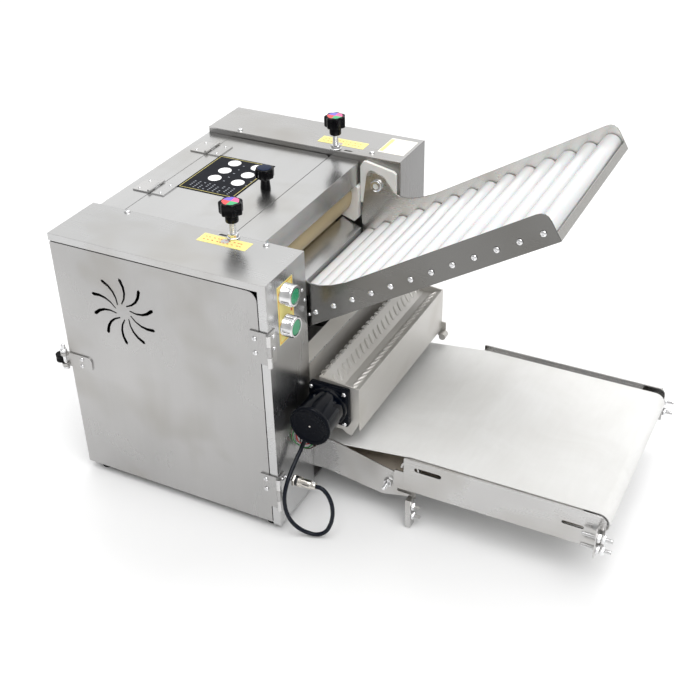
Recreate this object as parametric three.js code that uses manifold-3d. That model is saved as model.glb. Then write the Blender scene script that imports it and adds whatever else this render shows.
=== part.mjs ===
// Bench dough sheeter: two rollers between box housings, an infeed roller tray, a flour duster and a belt table.
// Millimetres, +Z up, +X towards the outfeed end, +Y from the near housing to the far housing.
import * as THREE from "three";
import { mergeVertices } from "three/addons/utils/BufferGeometryUtils.js";
import Module from "manifold-3d";

const wasm = await Module();
wasm.setup();

// Driving dimensions
const sheet = 2; // stainless sheet of the casings
const gap = 0.3; // clearance between touching pieces
const floorGap = 11; // housing bottom above the floor
const housing = { length: 335, top: 401, width: 100, farY: 398, farWidth: 90 };
const bay = { near: housing.width, far: housing.farY }; // inner faces of the housings
const middleY = (bay.near + bay.far) / 2;
const plateThickness = 12; // side plates that carry the rollers
const roller = { radius: 37, near: 114, far: 384, shaft: 12 };
const upperAxis = { x: 224, z: 338 };
const lowerAxis = { x: 230, z: 263 };
const lift = 8; // travel of the upper roller
const knob = {
  x: { near: 233, far: 224 },
  near: 93.5, far: 404.5, stud: 4.6, neck: 9, head: 16.5, headBottom: 436, headTop: 454,
  lobes: 7, lobeDepth: 2.4, neckBottom: 424, studFoot: 364,
};
const gear = { teeth: 14, near: 62, far: 79.7, addendum: 4.2, dedendum: 5.6 };
const coverTop = 392;
const lidFrom = 42.5;
const lidTo = 218.5;
const slope = THREE.MathUtils.degToRad(31.4); // infeed tray
const tray = { near: 106.3, far: 391.7, below: -16, above: 24, rollers: 14, pitch: 32, rollerRadius: 13 };
const firstRoller = { x: 290.4, z: 274.7 };
const pivot = { x: 300, z: 361 };
const duster = { near: 101.5, far: 396.5, back: 349, front: 410, top: 208, frontTop: 203, axisX: 368, axisZ: 173 };
const table = { near: 93, far: 405, from: 481, to: 765, bottom: 60, top: 116 };
const belt = { near: 103, far: 395, thickness: 1.5 };
const wheels = [
  { x: 150, z: 49, r: 22, inside: true },
  { x: 455, z: 59, r: 8, inside: false },
  { x: 752, z: 96.7, r: 14, inside: true },
  { x: 490, z: 96.7, r: 14, inside: true },
];
const [driveWheel, idlerWheel, noseWheel, bedEdge] = wheels;
const partOrigin = { x: 378, y: 239.25, z: 0 }; // centre of the footprint, on the floor

// Materials
const metal = (color, roughness) => () =>
  new THREE.MeshStandardMaterial({ color, roughness, metalness: 1 });
const plain = (color, roughness) => () =>
  new THREE.MeshStandardMaterial({ color, roughness, metalness: 0 });
const stainless = metal(0xb9b8b4, 0.35);
const darkStainless = metal(0x8e8c88, 0.4);
const chromed = metal(0xd8d8d8, 0.15);
const aluminium = metal(0xa8a9ab, 0.5);
const steel = metal(0x77787a, 0.45);
const whitePlastic = plain(0xe9e7e2, 0.45);
const tanSleeve = plain(0xb79c66, 0.5);
const blackGloss = plain(0x0c0d12, 0.25);
const blackRubber = plain(0x16161a, 0.6);
const greenPlastic = plain(0x1e9a57, 0.4);
const canvas = plain(0xe6e3dc, 0.8);

// Solids: three.js geometry joined and cut with manifold-3d
function toSolid(geometry) {
  const bare = geometry.clone();
  bare.deleteAttribute("normal");
  bare.deleteAttribute("uv");
  const merged = mergeVertices(bare, 1e-4);
  return new wasm.Manifold(
    new wasm.Mesh({
      numProp: 3,
      vertProperties: merged.attributes.position.array,
      triVerts: new Uint32Array(merged.index.array),
    }),
  );
}

function toGeometry(solid) {
  const mesh = solid.getMesh();
  const geometry = new THREE.BufferGeometry();
  geometry.setAttribute("position", new THREE.BufferAttribute(mesh.vertProperties, 3));
  geometry.setIndex(new THREE.BufferAttribute(mesh.triVerts, 1));
  geometry.computeVertexNormals();
  return geometry;
}

const combine = (step) => (first, ...others) =>
  toGeometry(others.reduce((solid, other) => solid[step](toSolid(other)), toSolid(first)));
const join = combine("add");
const cut = combine("subtract");

// A box between two values on each axis.
function box(x0, x1, y0, y1, z0, z1) {
  const geometry = new THREE.BoxGeometry(x1 - x0, y1 - y0, z1 - z0);
  return geometry.translate((x0 + x1) / 2, (y0 + y1) / 2, (z0 + z1) / 2);
}

// Rods along each axis, from one end to the other.
function rodY(x, z, radius, from, to, sides = 20) {
  return new THREE.CylinderGeometry(radius, radius, to - from, sides).translate(x, (from + to) / 2, z);
}

function rodX(y, z, radius, from, to, sides = 20) {
  const rod = new THREE.CylinderGeometry(radius, radius, to - from, sides);
  return rod.rotateZ(-Math.PI / 2).translate((from + to) / 2, y, z);
}

function rodZ(x, y, radius, from, to, sides = 20) {
  const rod = new THREE.CylinderGeometry(radius, radius, to - from, sides);
  return rod.rotateX(Math.PI / 2).translate(x, y, (from + to) / 2);
}

// An outline in the XZ plane carried along Y, or in the XY plane along Z.
function alongY(shape, from, to, curveSegments = 6) {
  const options = { depth: to - from, bevelEnabled: false, curveSegments };
  return new THREE.ExtrudeGeometry(shape, options).rotateX(Math.PI / 2).translate(0, to, 0);
}

function alongZ(shape, from, to, curveSegments = 6) {
  const options = { depth: to - from, bevelEnabled: false, curveSegments };
  return new THREE.ExtrudeGeometry(shape, options).translate(0, 0, from);
}

const outline = (points) => new THREE.Shape(points.map(([a, b]) => new THREE.Vector2(a, b)));

// A slot with round ends from a0 to a1 about the line at b.
function slotShape(a0, a1, b, radius) {
  const shape = new THREE.Shape();
  shape.moveTo(a0 + radius, b - radius);
  shape.lineTo(a1 - radius, b - radius);
  shape.absarc(a1 - radius, b, radius, -Math.PI / 2, Math.PI / 2, false);
  shape.lineTo(a0 + radius, b + radius);
  shape.absarc(a0 + radius, b, radius, Math.PI / 2, (3 * Math.PI) / 2, false);
  return shape;
}

// A rectangle with its four corners rounded by the radii given, from the low corner anticlockwise.
function roundedShape(a0, a1, b0, b1, radii) {
  const [r0, r1, r2, r3] = radii;
  const shape = new THREE.Shape();
  shape.moveTo(a0 + r0, b0);
  shape.lineTo(a1 - r1, b0);
  if (r1) shape.absarc(a1 - r1, b0 + r1, r1, -Math.PI / 2, 0, false);
  shape.lineTo(a1, b1 - r2);
  if (r2) shape.absarc(a1 - r2, b1 - r2, r2, 0, Math.PI / 2, false);
  shape.lineTo(a0 + r3, b1);
  if (r3) shape.absarc(a0 + r3, b1 - r3, r3, Math.PI / 2, Math.PI, false);
  shape.lineTo(a0, b0 + r0);
  if (r0) shape.absarc(a0 + r0, b0 + r0, r0, Math.PI, (3 * Math.PI) / 2, false);
  return shape;
}

const machine = new THREE.Group();
machine.position.set(-partOrigin.x, -partOrigin.y, -partOrigin.z);

function add(name, geometry, material) {
  const mesh = new THREE.Mesh(geometry, material());
  mesh.name = name;
  machine.add(mesh);
}

// Two pieces alike, mirrored across the bay: from(near) and to(near) count from the near inner face.
const mirrorY = (y) => 2 * middleY - y;
const sideSpan = (side, from, to) => (side === "near" ? [from, to] : [mirrorY(to), mirrorY(from)]);

// Housings: sheet shells, open to the inside and round the door or cover on the outer face
function housingShell(near) {
  const y0 = near ? 0 : housing.farY;
  const y1 = near ? housing.width : housing.farY + housing.farWidth;
  const inner = near ? [sheet, y1 + 1] : [y0 - 1, y1 - sheet];
  const shell = box(0, housing.length, y0, y1, floorGap, housing.top);
  const room = box(sheet, housing.length - sheet, ...inner, floorGap + sheet, housing.top - sheet);
  const studY = near ? knob.near : knob.far;
  const studX = near ? knob.x.near : knob.x.far;
  const slotStart = near ? studX - 22 : studX + 14;
  const holes = [room, rodZ(studX, studY, knob.stud + 0.6, housing.top - 4, housing.top + 1, 12)];
  holes.push(alongZ(slotShape(slotStart, slotStart + 14, studY, 2), housing.top - 4, housing.top + 1, 3));
  return cut(shell, ...holes);
}

const buttonCentres = [
  { name: "run_button", y: 44, z: 368 },
  { name: "stop_button", y: 43, z: 322 },
];
const bezel = { outer: 14, bore: 11.2, front: 351 };
const socketAxis = { y: 18.3, z: 87 };

function nearHousing() {
  const doorway = box(-1, 322.9, -1, sheet + 0.6, floorGap - 1, 390.5);
  const rings = buttonCentres.map(({ y, z }) =>
    rodX(y, z, bezel.outer, housing.length - 1, bezel.front, 24),
  );
  const bores = buttonCentres.map(({ y, z }) => rodX(y, z, bezel.bore, 330, bezel.front + 1, 24));
  const socketHole = rodX(socketAxis.y, socketAxis.z, 3, 330, 340, 10);
  return cut(join(housingShell(true), ...rings), doorway, ...bores, socketHole);
}

function farHousing() {
  const outer = housing.farY + housing.farWidth;
  const opening = box(13.5, 321.5, outer - sheet - 1, outer + 1, 25, 387);
  const inlet = box(-1, sheet + 1, 428, 456, 60, 80);
  return cut(housingShell(false), opening, inlet);
}

add("near_housing", nearHousing(), stainless);
add("far_housing", farHousing(), stainless);

// Side plates: a window for each sliding bearing block and bores for the fixed shafts
const block = { half: 26, bottom: 316, top: 380, flange: 34 };

function sidePlate(side) {
  const [y0, y1] = sideSpan(side, bay.near - plateThickness, bay.near - gap);
  const [cutFrom, cutTo] = [y0 - 20, y1 + 20];
  const window = box(
    upperAxis.x - block.half - 0.4, upperAxis.x + block.half + 0.4,
    cutFrom, cutTo, block.bottom - gap, block.top + lift + gap,
  );
  const plate = box(sheet + 0.4, housing.length - sheet - 0.4, y0, y1, floorGap + 2.4, housing.top - 2.4);
  const [bossFrom, bossTo] = sideSpan(side, bay.near - plateThickness - 8, bay.near - 6);
  const boss = rodY(lowerAxis.x, lowerAxis.z, 22, bossFrom, bossTo, 20);
  const bores = [
    rodY(lowerAxis.x, lowerAxis.z, roller.shaft + gap, cutFrom, cutTo),
    rodY(driveWheel.x, driveWheel.z, 8 + gap, cutFrom, cutTo, 12),
    rodZ(knob.x[side], knob[side], knob.stud + 0.6, 380, housing.top, 12),
  ];
  if (side === "far") bores.push(rodY(motor.x, motor.z, 10, cutFrom, cutTo, 16));
  return cut(join(plate, boss), window, ...bores);
}

const motor = { x: 78, z: 205, radius: 42, shaft: 8 };
add("near_side_plate", sidePlate("near"), steel);
add("far_side_plate", sidePlate("far"), steel);

// Base pan with its four feet
function basePan() {
  const feet = [[22, 18], [313, 18], [22, 470], [313, 470]];
  const pan = box(9, 326, 9, 479, 8, floorGap - 0.4);
  const rim = box(20, 315, bay.near + 8, bay.far - 8, 8, 16);
  const pads = feet.map(([x, y]) => rodZ(x, y, 9, 0, 9, 16));
  return join(pan, rim, ...pads);
}
add("base_pan", basePan(), darkStainless);

// Covers
function centreCover() {
  const y0 = bay.near + gap;
  const y1 = bay.far - gap;
  const rear = box(0, lidFrom - 0.9, y0, y1, coverTop - sheet, coverTop);
  const front = box(lidTo + 0.9, 268, y0, y1, coverTop - sheet, coverTop);
  const ledgeTop = coverTop - sheet - gap;
  const frame = box(30, 232, y0, y1, ledgeTop - sheet, ledgeTop + 1);
  const inside = box(52, 208, y0 + 10, y1 - 10, ledgeTop - 4, ledgeTop + 4);
  const clear = box(lidFrom - 0.9, lidTo + 0.9, y0 - 1, y1 + 1, ledgeTop, coverTop + 1);
  const lip = box(268 - sheet, 268, y0, y1, 357, coverTop);
  const back = box(0, sheet, y0, y1, 30, coverTop);
  return cut(join(rear, front, frame, lip, back), inside, clear);
}
add("centre_cover", centreCover(), stainless);

// Butt hinges: the fixed leaf holds the pin, the moving leaf turns on it.
const knuckle = { radius: 2.7, pin: 1.2, bore: 1.6 };

function knuckleY(x, z, from, to, fixed) {
  const barrel = rodY(x, z, knuckle.radius, from, to, 12);
  return fixed ? barrel : cut(barrel, rodY(x, z, knuckle.bore, from - 1, to + 1, 8));
}

const lidHinge = { x: 42, z: 395, starts: [172, 322], length: 38 };

function lidFixedLeaf(start) {
  const end = start + lidHinge.length;
  const leaf = box(14, 40.6, start, end, coverTop + gap, coverTop + gap + 1.6);
  const middle = box(38.6, 48, start + 12.3, end - 12.3, coverTop, coverTop + 6);
  const barrels = knuckleY(lidHinge.x, lidHinge.z, start, end, true);
  const pin = rodY(lidHinge.x, lidHinge.z, knuckle.pin, start, end, 8);
  return join(cut(join(leaf, barrels), middle), pin);
}

// The front corners are rounded to pass the thickness knobs as the lid opens.
function lidPanel() {
  const plate = alongZ(
    roundedShape(lidFrom, lidTo, bay.near + 1.5, bay.far - 1.5, [1, 10, 10, 1]),
    coverTop - sheet, coverTop, 3,
  );
  const leaves = lidHinge.starts.flatMap((start) => {
    const end = start + lidHinge.length;
    const leaf = box(45.2, 67, start, end, coverTop - 1, coverTop + 1.6);
    const tongue = box(43.4, 46, start + 12.6, end - 12.6, coverTop - 1, coverTop + 1.6);
    return [leaf, tongue, knuckleY(lidHinge.x, lidHinge.z, start + 12.6, end - 12.6, false)];
  });
  return join(plate, ...leaves);
}

add("lid", lidPanel(), stainless);
add("lid_hinge_near", lidFixedLeaf(lidHinge.starts[0]), stainless);
add("lid_hinge_far", lidFixedLeaf(lidHinge.starts[1]), stainless);

// Lid knob: a turned grip
function turned(profile, segments = 20) {
  const points = profile.map(([r, z]) => new THREE.Vector2(r, z));
  return new THREE.LatheGeometry(points, segments).rotateX(Math.PI / 2);
}
const gripProfile = [[0, 0], [8, 0], [6.5, 12], [9, 15], [14, 18], [14, 28], [11.5, 32], [0, 32]];
add("lid_knob", turned(gripProfile).translate(186, 257, coverTop + gap), blackRubber);

// Near door: a panel with a pinwheel vent, folded stiffeners, hinge leaves and the latch bracket
const vent = { x: 109, z: 305.7, slots: 10, inner: 12, outer: 50, tip: 2.6, root: 0.9, bulge: 6 };

function ventSlot(index) {
  const tipAngle = 90 - 2 - 36 * index;
  const [tipTurn, rootTurn] = [tipAngle, tipAngle + 6].map(THREE.MathUtils.degToRad);
  const root = new THREE.Vector2(Math.cos(rootTurn), Math.sin(rootTurn)).multiplyScalar(vent.inner);
  const tip = new THREE.Vector2(Math.cos(tipTurn), Math.sin(tipTurn)).multiplyScalar(vent.outer);
  const along = tip.clone().sub(root).normalize();
  const side = new THREE.Vector2(along.y, -along.x);
  const middle = root.clone().add(tip).multiplyScalar(0.5).addScaledVector(side, vent.bulge * 2);
  const curve = new THREE.QuadraticBezierCurve(root, middle, tip);
  const steps = 4;
  const left = [];
  const right = [];
  for (let i = 0; i <= steps; i++) {
    const point = curve.getPoint(i / steps);
    const turn = curve.getTangent(i / steps);
    const half = THREE.MathUtils.lerp(vent.root, vent.tip, i / steps);
    left.push([vent.x + point.x - turn.y * half, vent.z + point.y + turn.x * half]);
    right.unshift([vent.x + point.x + turn.y * half, vent.z + point.y - turn.x * half]);
  }
  const end = curve.getTangent(1);
  const cap = [vent.x + tip.x + end.x * vent.tip, vent.z + tip.y + end.y * vent.tip];
  return alongY(outline([...left, cap, ...right]), -1, sheet + 1);
}

const doorHinge = { x: 338, y: -4, radius: 3.7, heights: { upper: [285, 333], lower: [45, 100] } };
const door = { from: 1, to: 321.5, bottom: 13.4, top: 389 };

function doorHingeKnuckle(z0, z1) {
  return rodZ(doorHinge.x, doorHinge.y, doorHinge.radius, z0, z1, 12);
}

// The moving leaf holds the middle third of the knuckle.
function third([z0, z1], clearance) {
  const step = (z1 - z0) / 3;
  return [z0 + step + clearance, z1 - step - clearance];
}

function doorLeaf(height) {
  const [z0, z1] = height;
  const middle = third(height, gap);
  const leaf = box(309, 333.5, -2.1, -gap, z0, z1);
  const root = box(309, 321, -2.1, 0.5, z0, z1);
  const tongue = box(330, 336, -2.1, -gap, ...middle);
  const barrel = doorHingeKnuckle(...middle);
  const bore = rodZ(doorHinge.x, doorHinge.y, 1.9, z0 - 1, z1 + 1, 8);
  return join(leaf, root, cut(join(barrel, tongue), bore));
}

function nearDoor() {
  const panel = alongY(roundedShape(door.from, door.to, door.bottom, door.top, [2, 2, 14, 2]), 0, sheet, 4);
  const rim = cut(
    box(door.from + 4, door.to - 4, sheet - 0.5, 12, door.bottom + 4, door.top - 12),
    box(door.from + 6, door.to - 6, 0, 13, door.bottom + 6, door.top - 14),
  );
  const slots = Array.from({ length: vent.slots }, (_, index) => ventSlot(index));
  const leaves = Object.values(doorHinge.heights).map(doorLeaf);
  const bracket = alongY(roundedShape(-3.2, 40, 188, 211, [0, 7, 7, 0]), -2, 0.5, 3);
  const ears = [[188, 193], [206, 211]].map(([z0, z1]) =>
    cut(rodZ(latch.x, latch.y, 5.5, z0, z1, 12), rodZ(latch.x, latch.y, 3.6, z0 - 1, z1 + 1, 12)),
  );
  return join(cut(panel, ...slots), rim, ...leaves, bracket, ...ears);
}

function doorFixedLeaf([z0, z1]) {
  const middle = third([z0, z1], 0);
  const leaf = box(housing.length + gap, housing.length + 1.9, -2, 15.3, z0, z1);
  const barrel = doorHingeKnuckle(z0, z1);
  const notch = box(housing.length - 2, 343, -9, 0.6, ...middle);
  const pin = rodZ(doorHinge.x, doorHinge.y, 1.5, z0, z1, 8);
  return join(cut(join(leaf, barrel), notch), pin);
}

const latch = { x: -7, y: -3 };

// Door latch: a lever with a rubber roller on an upright pin
function doorLatch() {
  const pin = rodZ(latch.x, latch.y, 3.3, 186, 224, 12);
  const head = rodZ(latch.x, latch.y, 5, 211.5, 216, 12);
  const foot = rodZ(latch.x, latch.y, 5, 183, 187.5, 12);
  const arm = box(-14, latch.x, -6, 0, 194, 205);
  const wheel = rodZ(-14.5, -2, 7.5, 193.5, 205.5, 16);
  return join(pin, head, foot, arm, wheel);
}

add("near_door", nearDoor(), stainless);
add("door_latch", doorLatch(), chromed);
add("door_hinge_upper", doorFixedLeaf(doorHinge.heights.upper), stainless);
add("door_hinge_lower", doorFixedLeaf(doorHinge.heights.lower), stainless);
const farFace = housing.farY + housing.farWidth;
add("far_side_cover", box(14, 321, farFace - sheet, farFace, 25.5, 386.5), stainless);

// Thickness knobs: a lobed head on a threaded stud that the bearing block rides on
function lobedShape(x, y, radius, lobes, depth) {
  const steps = lobes * 4;
  const points = [];
  for (let i = 0; i < steps; i++) {
    const turn = (2 * Math.PI * i) / steps;
    const r = radius - depth * (0.5 - 0.5 * Math.cos(lobes * turn));
    points.push([x + r * Math.cos(turn), y + r * Math.sin(turn)]);
  }
  return outline(points);
}

function thicknessKnob(x, y) {
  const head = alongZ(lobedShape(x, y, knob.head, knob.lobes, knob.lobeDepth), knob.headBottom, knob.headTop);
  const neck = rodZ(x, y, knob.neck, knob.neckBottom, knob.headBottom + 1, 14);
  const stud = rodZ(x, y, knob.stud, knob.studFoot, knob.neckBottom + 1, 10);
  return join(head, neck, stud);
}

function bearingBlock(side) {
  const [y0, y1] = sideSpan(side, bay.near - plateThickness - 1, bay.near - gap);
  const [f0, f1] = sideSpan(side, bay.near - plateThickness - 6, bay.near - plateThickness - gap);
  const { x } = upperAxis;
  const body = box(x - block.half, x + block.half, y0, y1, block.bottom, block.top);
  const flange = box(x - block.flange, x + block.flange, f0, f1, block.bottom, block.top);
  const bore = rodY(x, upperAxis.z, roller.shaft + gap, y0 - 20, y1 + 20);
  const studBore = rodZ(knob.x[side], knob[side], knob.stud + 0.5, knob.studFoot - 11, block.top + 1, 12);
  return cut(join(body, flange), bore, studBore);
}

for (const side of ["near", "far"]) {
  add(side + "_thickness_knob", thicknessKnob(knob.x[side], knob[side]), blackRubber);
  add(side + "_bearing_block", bearingBlock(side), steel);
}

// Rollers and their gears
function sheetingRoller({ x, z }, shaftFrom, shaftTo) {
  const drum = rodY(x, z, roller.radius, roller.near, roller.far, 36);
  return join(drum, rodY(x, z, roller.shaft, shaftFrom, shaftTo));
}

// A spur gear with straight-flanked teeth; turn is the angle of its first tooth.
function spurGear({ x, z }, turn) {
  const pitchRadius = Math.hypot(upperAxis.x - lowerAxis.x, upperAxis.z - lowerAxis.z) / 2;
  const step = (2 * Math.PI) / gear.teeth;
  const rings = [
    [pitchRadius - gear.dedendum, -0.27], [pitchRadius, -0.19], [pitchRadius + gear.addendum, -0.09],
    [pitchRadius + gear.addendum, 0.09], [pitchRadius, 0.19], [pitchRadius - gear.dedendum, 0.27],
  ];
  const points = [];
  for (let tooth = 0; tooth < gear.teeth; tooth++) {
    for (const [radius, share] of rings) {
      const angle = turn + (tooth + share) * step;
      points.push([x + radius * Math.cos(angle), z + radius * Math.sin(angle)]);
    }
  }
  const blank = alongY(outline(points), gear.near, gear.far);
  return cut(blank, rodY(x, z, roller.shaft + gap, gear.near - 1, gear.far + 1));
}

const lineOfCentres = Math.atan2(upperAxis.z - lowerAxis.z, upperAxis.x - lowerAxis.x);
const halfTooth = Math.PI / gear.teeth;
const pulley = { from: 430, to: 446, motorRadius: 24, rollerRadius: 44 };
add("upper_roller", sheetingRoller(upperAxis, 56, 418), tanSleeve);
add("upper_gear", spurGear(upperAxis, lineOfCentres + Math.PI + halfTooth), steel);
const rollerPulley = rodY(lowerAxis.x, lowerAxis.z, pulley.rollerRadius, pulley.from, pulley.to, 28);
add("lower_roller", join(sheetingRoller(lowerAxis, 56, 450), rollerPulley), chromed);
add("lower_gear", spurGear(lowerAxis, lineOfCentres), steel);

// White cheeks beside the rollers and blocks that carry the tray's pivot bolts
const cheekOutline = outline([
  [241, 303], [264, 296], [270.5, 303], [270.5, 352], [267, 356], [246, 352], [241, 342],
]);
const pivotBlockOutline = outline([
  [271.3, 327], [330, 327], [330, 382], [326, 386], [281, 395], [276, 394], [271.3, 386],
]);
const bolt = { radius: 4, head: 8.5 };

for (const side of ["near", "far"]) {
  add(side + "_cheek", alongY(cheekOutline, ...sideSpan(side, bay.near + gap, roller.near - gap)), whitePlastic);
  const [inner, outer] = sideSpan(side, bay.near + gap, tray.near - gap);
  const slab = alongY(pivotBlockOutline, inner, outer);
  const pin = rodY(pivot.x, pivot.z, bolt.radius, ...sideSpan(side, bay.near + 2, tray.near + 3), 12);
  const head = rodY(pivot.x, pivot.z, bolt.head, ...sideSpan(side, tray.near + 2.4, tray.near + 6), 14);
  add(side + "_pivot_block", join(slab, pin, head), whitePlastic);
}

// Feed plate from the tray's last roller to the nip
const feedOutline = outline([
  [244, 300.6], [244, 299.2], [274.4, 286.1], [274.4, 278], [276, 278], [276, 287.4],
]);
add("feed_plate", alongY(feedOutline, roller.near + gap, roller.far - gap), stainless);

// Main gear motor, its pulley and the drive belt in the far housing
function mainMotor() {
  const can = rodY(motor.x, motor.z, motor.radius, 190, 322, 24);
  const gearbox = box(motor.x - 44, motor.x + 44, 320, 388, motor.z - 44, motor.z + 44);
  const flange = rodY(motor.x, motor.z, 50, 387, bay.far - gap, 24);
  const bore = rodY(motor.x, motor.z, motor.shaft + gap, 380, bay.far + 1, 12);
  return cut(join(can, gearbox, flange), bore);
}
add("main_motor", mainMotor(), aluminium);
const motorShaft = rodY(motor.x, motor.z, motor.shaft, 384, 450, 12);
const motorPulley = rodY(motor.x, motor.z, pulley.motorRadius, pulley.from, pulley.to, 20);
add("motor_pulley", join(motorPulley, motorShaft), steel);

// A closed line round wheels in turn, anticlockwise; extra grows it outwards from every inside wheel.
function loopLine(list, extra, arcStep) {
  const signed = list.map((w) => (w.inside ? w.r + extra.inside : -(w.r + extra.outside)));
  const headings = list.map((a, i) => {
    const j = (i + 1) % list.length;
    const [dx, dz] = [list[j].x - a.x, list[j].z - a.z];
    return Math.atan2(dz, dx) - Math.asin((signed[j] - signed[i]) / Math.hypot(dx, dz));
  });
  const points = [];
  list.forEach((wheel, i) => {
    const arriving = headings[(i + list.length - 1) % list.length];
    let turn = headings[i] - arriving;
    while (turn < 0) turn += 2 * Math.PI;
    if (!wheel.inside) turn -= 2 * Math.PI;
    if (turn < -Math.PI) turn += 2 * Math.PI;
    const steps = Math.max(1, Math.ceil(Math.abs(turn) / arcStep));
    for (let k = 0; k <= steps; k++) {
      const heading = arriving + (turn * k) / steps;
      points.push([wheel.x + signed[i] * Math.sin(heading), wheel.z - signed[i] * Math.cos(heading)]);
    }
  });
  return points;
}

function band(list, thickness, from, to, arcStep) {
  const outer = outline(loopLine(list, { inside: gap + thickness, outside: gap }, arcStep));
  const inner = outline(loopLine(list, { inside: gap, outside: gap + thickness }, arcStep));
  return cut(alongY(outer, from, to), alongY(inner, from - 1, to + 1));
}

const driveWheels = [
  { ...motor, r: pulley.motorRadius, inside: true },
  { ...lowerAxis, r: pulley.rollerRadius, inside: true },
];
add("drive_belt", band(driveWheels, 5, 433, 443, 0.22), blackRubber);

// Infeed tray: a folded sheet with an ear at each side, and its free-running rollers
const trayPoint = (along, up) => [
  firstRoller.x + along * Math.cos(slope) - up * Math.sin(slope),
  firstRoller.z + along * Math.sin(slope) + up * Math.cos(slope),
];
const trayEnd = (tray.rollers - 1) * tray.pitch + 15.6;

function traySide(y0, y1) {
  const shape = new THREE.Shape();
  const corner = trayPoint(trayEnd, tray.above);
  const beforeCorner = trayPoint(trayEnd - 14, tray.above);
  const afterCorner = trayPoint(trayEnd, tray.above - 14);
  shape.moveTo(...trayPoint(-8, tray.below));
  shape.lineTo(...trayPoint(trayEnd, tray.below));
  shape.lineTo(...afterCorner);
  shape.quadraticCurveTo(...corner, ...beforeCorner);
  shape.lineTo(...trayPoint(132, tray.above));
  shape.quadraticCurveTo(344, 340, 327, 355);
  shape.lineTo(316, 369);
  shape.quadraticCurveTo(313, 376, 306, 378);
  shape.lineTo(294, 382.5);
  shape.quadraticCurveTo(284, 385, 282.5, 372);
  shape.lineTo(274.5, 313);
  shape.quadraticCurveTo(273, 290, 278, 272);
  const plate = alongY(shape, y0, y1, 4);
  const pivotHole = rodY(pivot.x, pivot.z, bolt.radius + 0.4, y0 - 1, y1 + 1, 12);
  const axleHoles = Array.from({ length: tray.rollers }, (_, index) => {
    const [x, z] = trayPoint(index * tray.pitch, 0);
    return rodY(x, z, 3.4, y0 - 1, y1 + 1, 6);
  });
  return cut(plate, pivotHole, ...axleHoles);
}

function trayFold() {
  const floor = outline([
    trayPoint(4, tray.below), trayPoint(trayEnd, tray.below), trayPoint(trayEnd, tray.below + 11),
    trayPoint(trayEnd - sheet, tray.below + 11), trayPoint(trayEnd - sheet, tray.below + 1.6),
    trayPoint(4, tray.below + 1.6),
  ]);
  return alongY(floor, tray.near + 0.5, tray.far - 0.5);
}

const traySides = [[tray.near, tray.near + sheet], [tray.far - sheet, tray.far]];
add("infeed_tray", join(trayFold(), ...traySides.map((span) => traySide(...span))), stainless);

for (let index = 0; index < tray.rollers; index++) {
  const [x, z] = trayPoint(index * tray.pitch, 0);
  const tube = rodY(x, z, tray.rollerRadius, tray.near + sheet + 0.8, tray.far - sheet - 0.8, 14);
  const axle = rodY(x, z, 2.9, tray.near + 0.4, tray.far - 0.4, 6);
  add("tray_roller_" + String(index + 1).padStart(2, "0"), join(tube, axle), whitePlastic);
}

// Apron and flour duster
function dusterBox() {
  const { back, front, top, frontTop, near, far, axisX, axisZ } = duster;
  const trough = new THREE.Shape();
  trough.moveTo(back, 150);
  trough.lineTo(back + 1.5, 150);
  trough.lineTo(back + 1.5, top - 5);
  trough.quadraticCurveTo(378, 176, front - 1.5, frontTop - 5);
  trough.lineTo(front - 1.5, 132);
  trough.lineTo(front, 132);
  trough.lineTo(front, frontTop);
  trough.lineTo(front - 1.5, frontTop);
  trough.quadraticCurveTo(378, 179.5, back + 1.5, top);
  trough.lineTo(back, top);
  const endShape = outline([
    [back, top], [back, 128], [384, 128], [389, 123], [397, 121], [407, 140], [front, 150], [front, frontTop],
  ]);
  const ends = [[near, near + sheet], [far - sheet, far]].map(([y0, y1]) =>
    cut(alongY(endShape, y0, y1), rodY(axisX, axisZ, 3.8, y0 - 1, y1 + 1, 10)),
  );
  const apron = outline([
    [333, 118], [335, 118], [335, 226], [317, 237], [316, 235.2], [333, 224.8],
  ]);
  const apronSheet = alongY(apron, bay.near + gap, bay.far - gap);
  const shelf = box(334, back + 1, near + 1, far - 1, 152, 154);
  const boss = rodY(416, 125, 5.5, far - 14, far - 1, 14);
  const bossPlate = box(404, 417, far - sheet, far, 119, 145);
  return join(alongY(trough, near + 1, far - 1, 6), ...ends, apronSheet, shelf, bossPlate, boss);
}
add("duster_box", dusterBox(), stainless);

function agitator() {
  const { axisX, axisZ, near, far } = duster;
  const shaft = rodY(axisX, axisZ, 3.4, near + gap, far - gap, 10);
  const blades = [0, 1].map((quarter) =>
    new THREE.BoxGeometry(16, far - near - 12, 2)
      .rotateY((quarter * Math.PI) / 2)
      .translate(axisX, (near + far) / 2, axisZ),
  );
  return join(shaft, ...blades);
}
add("duster_agitator", agitator(), whitePlastic);

function dusterMotor() {
  const { axisX, axisZ } = duster;
  const disc = rodY(axisX, axisZ, 30, 35, 41, 28);
  const can = rodY(axisX, axisZ, 28, 40, 90, 28);
  const flange = box(axisX - 30, axisX + 30, 89, duster.near - gap, axisZ - 30, axisZ + 30);
  const gland = rodZ(349, 54, 5, 142, 160, 10);
  return join(disc, can, flange, gland);
}
add("duster_motor", dusterMotor(), blackGloss);

// Cable of the duster motor: gland, loop down to the floor and up, screwed connector, panel socket
const cableRoute = [
  [349, 54, 141.7], [349, 54, 133], [347.5, 48.5, 123], [345.9, 36, 112], [345.5, 20, 101], [345.8, 6, 90],
  [346, -3, 76], [347, -6, 60], [350, -6, 44], [355, -3, 29], [363, 2, 16], [374, 7, 8], [386, 11, 6],
  [397, 14.5, 12], [404, 16.8, 25], [407.5, 18, 40], [408, 18.5, 55], [405.5, 18.4, 69], [399.5, 18.3, 81],
  [392, 18.3, 86.7], [384.3, 18.3, 87],
];

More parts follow.
